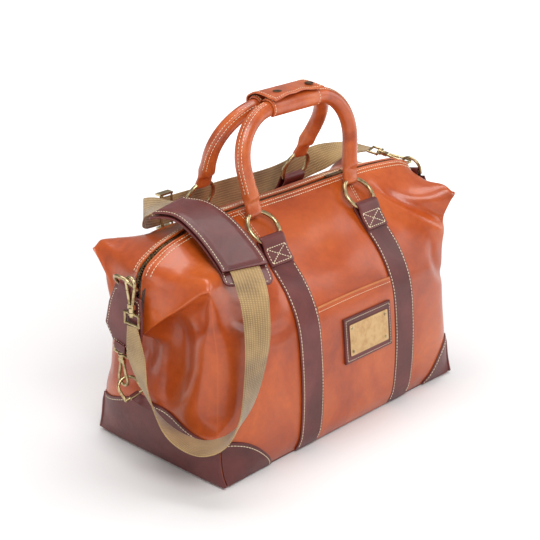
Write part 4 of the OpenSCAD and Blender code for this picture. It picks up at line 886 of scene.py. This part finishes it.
for name, h in HANDLES.items():
    p2 = handle_line(h["rise"])
    wide, thick = handle_section(p2)
    d = unit(np.gradient(p2, axis=0))
    nrm = np.c_[-d[:, 1], d[:, 0]]
    ang = np.arange(SIDES) * 2 * math.pi / SIDES
    seam = math.radians(25 if h["mirrored"] else -25)
    under_wrap = np.abs(p2[:, 0] - WRAP_X) < WRAP_L / 2 + 3
    round_part = ease((p2[:, 1] - 20) / 12)
    seam_part = round_part * ~under_wrap
    pts = []
    for i in range(len(p2)):
        off = (ang - seam + math.pi) % (2 * math.pi) - math.pi
        ridge = 0.9 * seam_part[i] * hump(off, 0.16)
        groove = -0.35 * seam_part[i] * (hump(off + 0.34, 0.12) + hump(off - 0.34, 0.12))
        a, b = wide[i] + ridge + groove, thick[i] + ridge + groove
        c, s_ = np.cos(ang), np.sin(ang)
        power = mix(1.0, 0.75, 1 - round_part[i])
        inplane = np.sign(c) * np.abs(c) ** power * a
        cross = np.sign(s_) * np.abs(s_) ** power * b
        pts.append(np.c_[p2[i, 0] + nrm[i, 0] * inplane, cross, p2[i, 1] + nrm[i, 1] * inplane])
    pts = on_ring(h["top"], h["lean"], np.array(pts), h["mirrored"])
    faces = grid_faces(len(p2), SIDES, 0, h["mirrored"], True)
    n = len(p2) * SIDES
    caps = [tuple(range(SIDES)), tuple(n - SIDES + k for k in range(SIDES))]
    faces += [caps[0][::-1], caps[1]] if not h["mirrored"] else [caps[0], caps[1][::-1]]
    make(name + "_handle_leather", pts.reshape(-1, 3), faces, TAN_TRIM, name + "_handle", (name + "_handle",), "tan_leather", smooth=60)
    thread = Thread(name + "_handle_stitching", name + "_handle", r=0.4, pitch=4.2, run=3.0)
    for a_row in (seam - 0.23, seam + 0.23):
        for side in (-1, 1):
            sel = np.where((p2[:, 1] > 25) & ~under_wrap & (np.sign(p2[:, 0]) == side))[0]
            c, s_ = math.cos(a_row), math.sin(a_row)
            reach = wide[sel] + 0.3
            base = np.c_[p2[sel, 0] + nrm[sel, 0] * c * reach, s_ * reach, p2[sel, 1] + nrm[sel, 1] * c * reach]
            up = np.c_[nrm[sel, 0] * c, np.full(len(sel), s_), nrm[sel, 1] * c]
            world = on_ring(h["top"], h["lean"], base, h["mirrored"])
            thread.row(world, on_ring(h["top"], h["lean"], base + up, h["mirrored"]) - world)
    thread.done(THREAD)

# ---------------------------------------------------------------- wrap and its flap
TUBE_Y = {"front": -3.8, "back": 15.8}
def wrap_sheet(name, h):
    """Leather sleeve half: bends with the handle inside it, open towards the other handle."""
    rise = h["rise"]
    leg = (rise - LEG_FROM - BEND * (1 + math.sin(SPREAD))) / math.cos(SPREAD)
    flat = LEG_X + leg * math.sin(SPREAD) - BEND * math.cos(SPREAD)
    def at(u, w, o):
        x = WRAP_X + (u - 0.5) * WRAP_L
        over = np.clip(np.abs(x) - flat, 0, None)
        a = np.arcsin(over / BEND)
        z = rise - BEND * (1 - np.cos(a))
        nx, nz = np.sign(x) * np.sin(a), np.cos(a)
        ang = mix(math.radians(203), math.radians(377) + 0.2, w)
        r = 10.1 + o + 0.35 * np.sin(u * 9 + w * 3) * np.sin(w * math.pi)
        p = vec(x + nx * r * np.cos(ang), r * np.sin(ang), z + nz * r * np.cos(ang))
        return on_ring(h["top"], h["lean"], p, h["mirrored"])
    return at

for name, h in HANDLES.items():
    fn = wrap_sheet(name, h)
    patch(name + "_wrap_leather", fn, soft_steps(84, 50), soft_steps(35, 40), 0.0, 2.0, TAN_TRIM, name + "_handle",
          (name + "_wrap",), "tan_leather", flip=not h["mirrored"])
    thread = Thread(name + "_wrap_stitching", name + "_handle", r=0.36, pitch=3.6, run=2.6)
    for u in (0.03, 0.97):
        ws = dense(0.04, 0.96, 40)
        thread.on(fn, np.full_like(ws, u), ws, lift=2.0)
    thread.done(THREAD)

CROWN = 413.731
PAIR_Y = 6.0
FLAP_LINE = [[23.6, 398.748], [23.4, 404.75], [19.5, CROWN - 5], [11, CROWN - 1], [0, CROWN], [-12, CROWN], [-24, CROWN - 0.8]]
def flap(u, w, o):
    """The flap runs from its hinge behind the back handle over both handles; its free edge waves."""
    p = along(FLAP_LINE, w)
    d = along(FLAP_LINE, np.minimum(w + 0.01, 1)) - along(FLAP_LINE, np.maximum(w - 0.01, 0))
    d = unit(d)
    x = WRAP_X + (u - 0.5) * (WRAP_L + 2)
    free = ease((w - 0.55) / 0.45)
    wave = free * (2.8 * np.sin((u - 0.16) * 2 * math.pi) - 1.2 * hump(u, 0.12) - 2.6 * hump(u - 0.42, 0.13))
    reach = free * (2.0 * np.sin(u * 2 * math.pi + 0.5))
    nrm_y, nrm_z = d[..., 1], -d[..., 0]
    y = PAIR_Y + p[..., 0] - reach + nrm_y * o
    z = p[..., 1] + wave * 0.9 + nrm_z * o
    return vec(x, y, z)
patch("flap_leather", flap, soft_steps(86, 60), soft_steps(62, 44), -1.0, 2.0, TAN_TRIM, "wrap_flap", ("wrap_flap",), "tan_leather", flip=True)
thread = Thread("flap_stitching", "wrap_flap", r=0.36, pitch=3.6, run=2.6)
for us, ws in ((0.035, dense(0.05, 0.95, 60)), (0.965, dense(0.05, 0.95, 60)), (dense(0.035, 0.965, 60), 0.95)):
    thread.on(flap, us, ws, lift=1.0)
thread.done(THREAD)

# ---------------------------------------------------------------- shoulder strap and pad
LEFT_EYE, RIGHT_EYE = [-268, -5.5, 190], [214, 48.7, 279.7]
STRAP_PATH = [
    [LEFT_EYE, [0, 1, 0]], [[-268, -10, 152], [0.1, 0.99, 0]], [[-266, -20, 114], [0.4, 0.92, 0]],
    [[-264, -43, 82], [0.54, 0.84, 0]], [[-260, -72, 65], [0.66, 0.75, 0]], [[-250, -102, 61], [0.72, 0.69, 0]],
    [[-234, -124, 74], [0.82, 0.57, 0]], [[-217, -134, 104], [0.92, 0.38, 0]], [[-206, -137, 146], [0.99, 0.12, 0]],
    [[-200, -137, 190], [1, -0.1, 0]], [[-192, -125, 228], [0.97, -0.2, 0]], [[-172, -92, 250], [0.95, -0.25, 0.1]],
    [[-165, -62, 268], [0.97, -0.15, 0.12]], [[-163, -30, 286], [0.98, -0.05, 0.1]], [[-164, 2, 297], [1, 0.05, 0.05]],
    [[-167, 34, 295], [0.97, 0.2, 0.05]], [[-169, 64, 287], [0.84, 0.5, 0.2]], [[-160, 92, 272], [0.4, 0.4, 0.8]],
    [[-130, 107, 261], [0, 0, 1]], [[-60, 108, 258], [0, 0, 1]], [[0, 108, 257], [0, 0, 1]], [[60, 110, 253], [0, 0, 1]],
    [[108, 111, 254], [0, 0.1, 0.98]], [[160, 108, 263], [0.2, 0.35, 0.9]], [[196, 88, 274], [0.75, 0.5, 0.4]],
    [RIGHT_EYE, [0.937, 0.349, 0]]]
LAST = len(STRAP_PATH) - 1
PATH_P = [p for p, _ in STRAP_PATH]
PATH_W = [w for _, w in STRAP_PATH]
def place_on(q):
    q = np.clip(q, 0, LAST)
    p = through(PATH_P, q)
    d = unit(through(PATH_P, np.minimum(q + 0.05, LAST)) - through(PATH_P, np.maximum(q - 0.05, 0)))
    w = through(PATH_W, q)
    w = unit(w - d * np.sum(w * d, axis=-1, keepdims=True))
    return p, w, np.cross(w, d)

def web_width(q):
    return mix(17.0, STRAP_W - 2, ease(np.minimum(q, (LAST - q) * 1.3) / 1.2))

qs = dense(0.1, LAST - 0.1, 420)
p, w, n = place_on(qs)
dist = np.r_[0, np.cumsum(np.linalg.norm(np.diff(p, axis=0), axis=1))]
(web_pts, web_faces), shares = ribbon(p, web_width(qs), 1.8, n, w, cols=15)
rows, cols = len(qs), len(shares)
uv = np.stack(np.broadcast_arrays(shares[None, :] * 19 * MM, dist[:, None] * MM), axis=-1).reshape(-1, 2)
make("webbing_cloth", web_pts, web_faces, KHAKI, "bag", ("webbing",), "webbing", uv=np.concatenate([uv, uv]))

PAD_FROM, PAD_TO, PAD_W = 10.6, 15.5, 58.0
def pad_fn(width, q0, q1, corner):
    def at(u, v, o):
        q = mix(q0, q1, u)
        pos, across, face = place_on(q)
        near = np.minimum(u, 1 - u) * 250
        cut = corner * (1 - np.sqrt(np.clip(1 - (1 - np.clip(near / corner, 0, 1)) ** 2, 0, 1))) if corner else 0
        half = width / 2 - cut
        return pos + across * ((2 * v - 1) * half)[..., None] + face * o[..., None]
    return at
base_pad = pad_fn(PAD_W, PAD_FROM, PAD_TO, 9.0)
sleeve_pad = pad_fn(PAD_W - 2, PAD_FROM + 0.5, PAD_TO - 0.3, 0)
pad_sew = Thread("pad_stitching", "bag", r=0.42, pitch=4.0, run=3.0)

def padded(name, fn, lift, thick, puff, replaces):
    (u, hu), (v, hv) = soft_steps(250, 70), soft_steps(58, 26)
    U, V = np.meshgrid(u, v)
    H = np.minimum(*np.meshgrid(hu, hv))
    edge = np.minimum(np.minimum(V, 1 - V) * 58, np.minimum(U, 1 - U) * 250)
    soft = puff * ease((edge - 3.4) / 7) - 0.5 * hump(edge - 3.2, 0.9)
    outer, inner = fn(U, V, lift + thick / 2 * H + soft), fn(U, V, lift - thick / 2 * H)
    pts, faces = slab(outer, inner, flip=True)
    return make(name, pts, faces, OX, "bag", replaces, "dark_leather")
padded("pad_base_leather", base_pad, -3.0, 3.0, 0.0, ("pad_base",))
padded("pad_sleeve_leather", sleeve_pad, 2.2, 2.2, 1.2, ("pad_sleeve",))
inset = 3.2
for v in (inset / PAD_W, 1 - inset / PAD_W):
    us = dense(0.02, 0.98, 200)
    pad_sew.on(sleeve_pad, us, np.full_like(us, v), lift=3.4)
    us = dense(0.02, 0.13, 30)
    pad_sew.on(base_pad, us, np.full_like(us, v), lift=-1.45)
vs = dense(0.08, 0.92, 40)
pad_sew.on(base_pad, np.full_like(vs, 0.014), vs, lift=-1.45)
pad_sew.on(base_pad, np.full_like(vs, 0.986), vs, lift=-1.45)
pad_sew.done(THREAD)
cream.done(THREAD)

# ---------------------------------------------------------------- finishes of the kept CAD nodes
for n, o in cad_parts.items():
    if n == "name_plate":
        m = PLATE
    elif n == "snap_caps":
        m = SNAP
    elif n == "base_board":
        m = BOARD
    elif n in ("front_core", "back_core"):
        m = ROPE
    elif n in ("zip_slider", "zip_pull", "zip_stops"):
        m = ZIP_METAL
    else:
        m = BRASS
    if not o.material_slots:
        o.data.materials.append(m)
    for slot in o.material_slots:
        slot.material = m

# ---------------------------------------------------------------- floor, light and camera
floor_mat, tree, b, co = base_material("floor")
b.inputs["Base Color"].default_value = (0.93, 0.92, 0.92, 1)
b.inputs["Roughness"].default_value = 0.6
# Painted glow: the floor emits white light, none within 0.35 m of the centre, rising to 0.8 at 1.5 m, so the far floor
# shines white
far = node(tree, "ShaderNodeVectorMath", operation="LENGTH")
tree.links.new(co.outputs["Object"], far.inputs[0])
floor_glow_by_distance = node(tree, "ShaderNodeMapRange", interpolation_type="SMOOTHSTEP")
floor_glow_by_distance.inputs["From Min"].default_value, floor_glow_by_distance.inputs["From Max"].default_value = 0.35, 1.5
floor_glow_by_distance.inputs["To Max"].default_value = 0.8
tree.links.new(far.outputs["Value"], floor_glow_by_distance.inputs["Value"])
b.inputs["Emission Color"].default_value = (1, 1, 1, 1)
tree.links.new(floor_glow_by_distance.outputs[0], b.inputs["Emission Strength"])
me = bpy.data.meshes.new("floor")
me.from_pydata([(-9, -9, -0.0005), (9, -9, -0.0005), (9, 9, -0.0005), (-9, 9, -0.0005)], [], [(0, 1, 2, 3)])
me.materials.append(floor_mat)
floor = bpy.data.objects.new("floor", me)
bpy.context.scene.collection.objects.link(floor)

world = bpy.data.worlds.new("studio")
bpy.context.scene.world = world
world.use_nodes = True
sky = world.node_tree
sky.nodes["Background"].inputs[0].default_value = (1.0, 0.99, 0.98, 1)
seen = sky.nodes.new("ShaderNodeLightPath")
glow = node(sky, "ShaderNodeMapRange")
glow.inputs["To Min"].default_value, glow.inputs["To Max"].default_value = 0.33, 1.0
sky.links.new(seen.outputs["Is Camera Ray"], glow.inputs["Value"])
sky.links.new(glow.outputs[0], sky.nodes["Background"].inputs[1])

def soft_light(name, place, aim, size, watts, colour=(1, 1, 1)):
    data = bpy.data.lights.new(name, "AREA")
    data.shape, data.size, data.size_y, data.energy, data.color = "RECTANGLE", size[0], size[1], watts, colour
    lamp = bpy.data.objects.new(name, data)
    lamp.location = place
    lamp.rotation_euler = (Vector(aim) - Vector(place)).to_track_quat("-Z", "Y").to_euler()
    bpy.context.scene.collection.objects.link(lamp)

soft_light("key", (-0.9, -1.6, 2.0), (0, 0, 0.2), (1.2, 1.0), 33)
soft_light("top", (0.3, 0.3, 2.2), (0, 0, 0.2), (1.6, 1.2), 27)
soft_light("right", (1.9, -1.0, 0.9), (0, 0, 0.15), (1.0, 1.4), 11)
soft_light("left", (-2.0, 0.3, 0.9), (0, 0, 0.15), (0.9, 1.2), 7)

camera = bpy.data.objects.new("camera", bpy.data.cameras.new("camera"))
camera.data.sensor_width, camera.data.lens = 36.0, 93.3
azimuth, elevation = math.radians(-46.4), math.radians(21.7)
back_dir = Vector((math.sin(azimuth) * math.cos(elevation), -math.cos(azimuth) * math.cos(elevation), math.sin(elevation)))
camera.location = Vector((-0.0365, 0, 0.188)) + back_dir * 1.740
camera.rotation_euler = back_dir.to_track_quat("Z", "Y").to_euler()
camera.data.clip_end = 50
bpy.context.scene.collection.objects.link(camera)
bpy.context.scene.camera = camera
bpy.context.scene.view_settings.view_transform = "Standard"
bpy.context.scene.view_settings.look = "None"

bpy.context.view_layer.update()
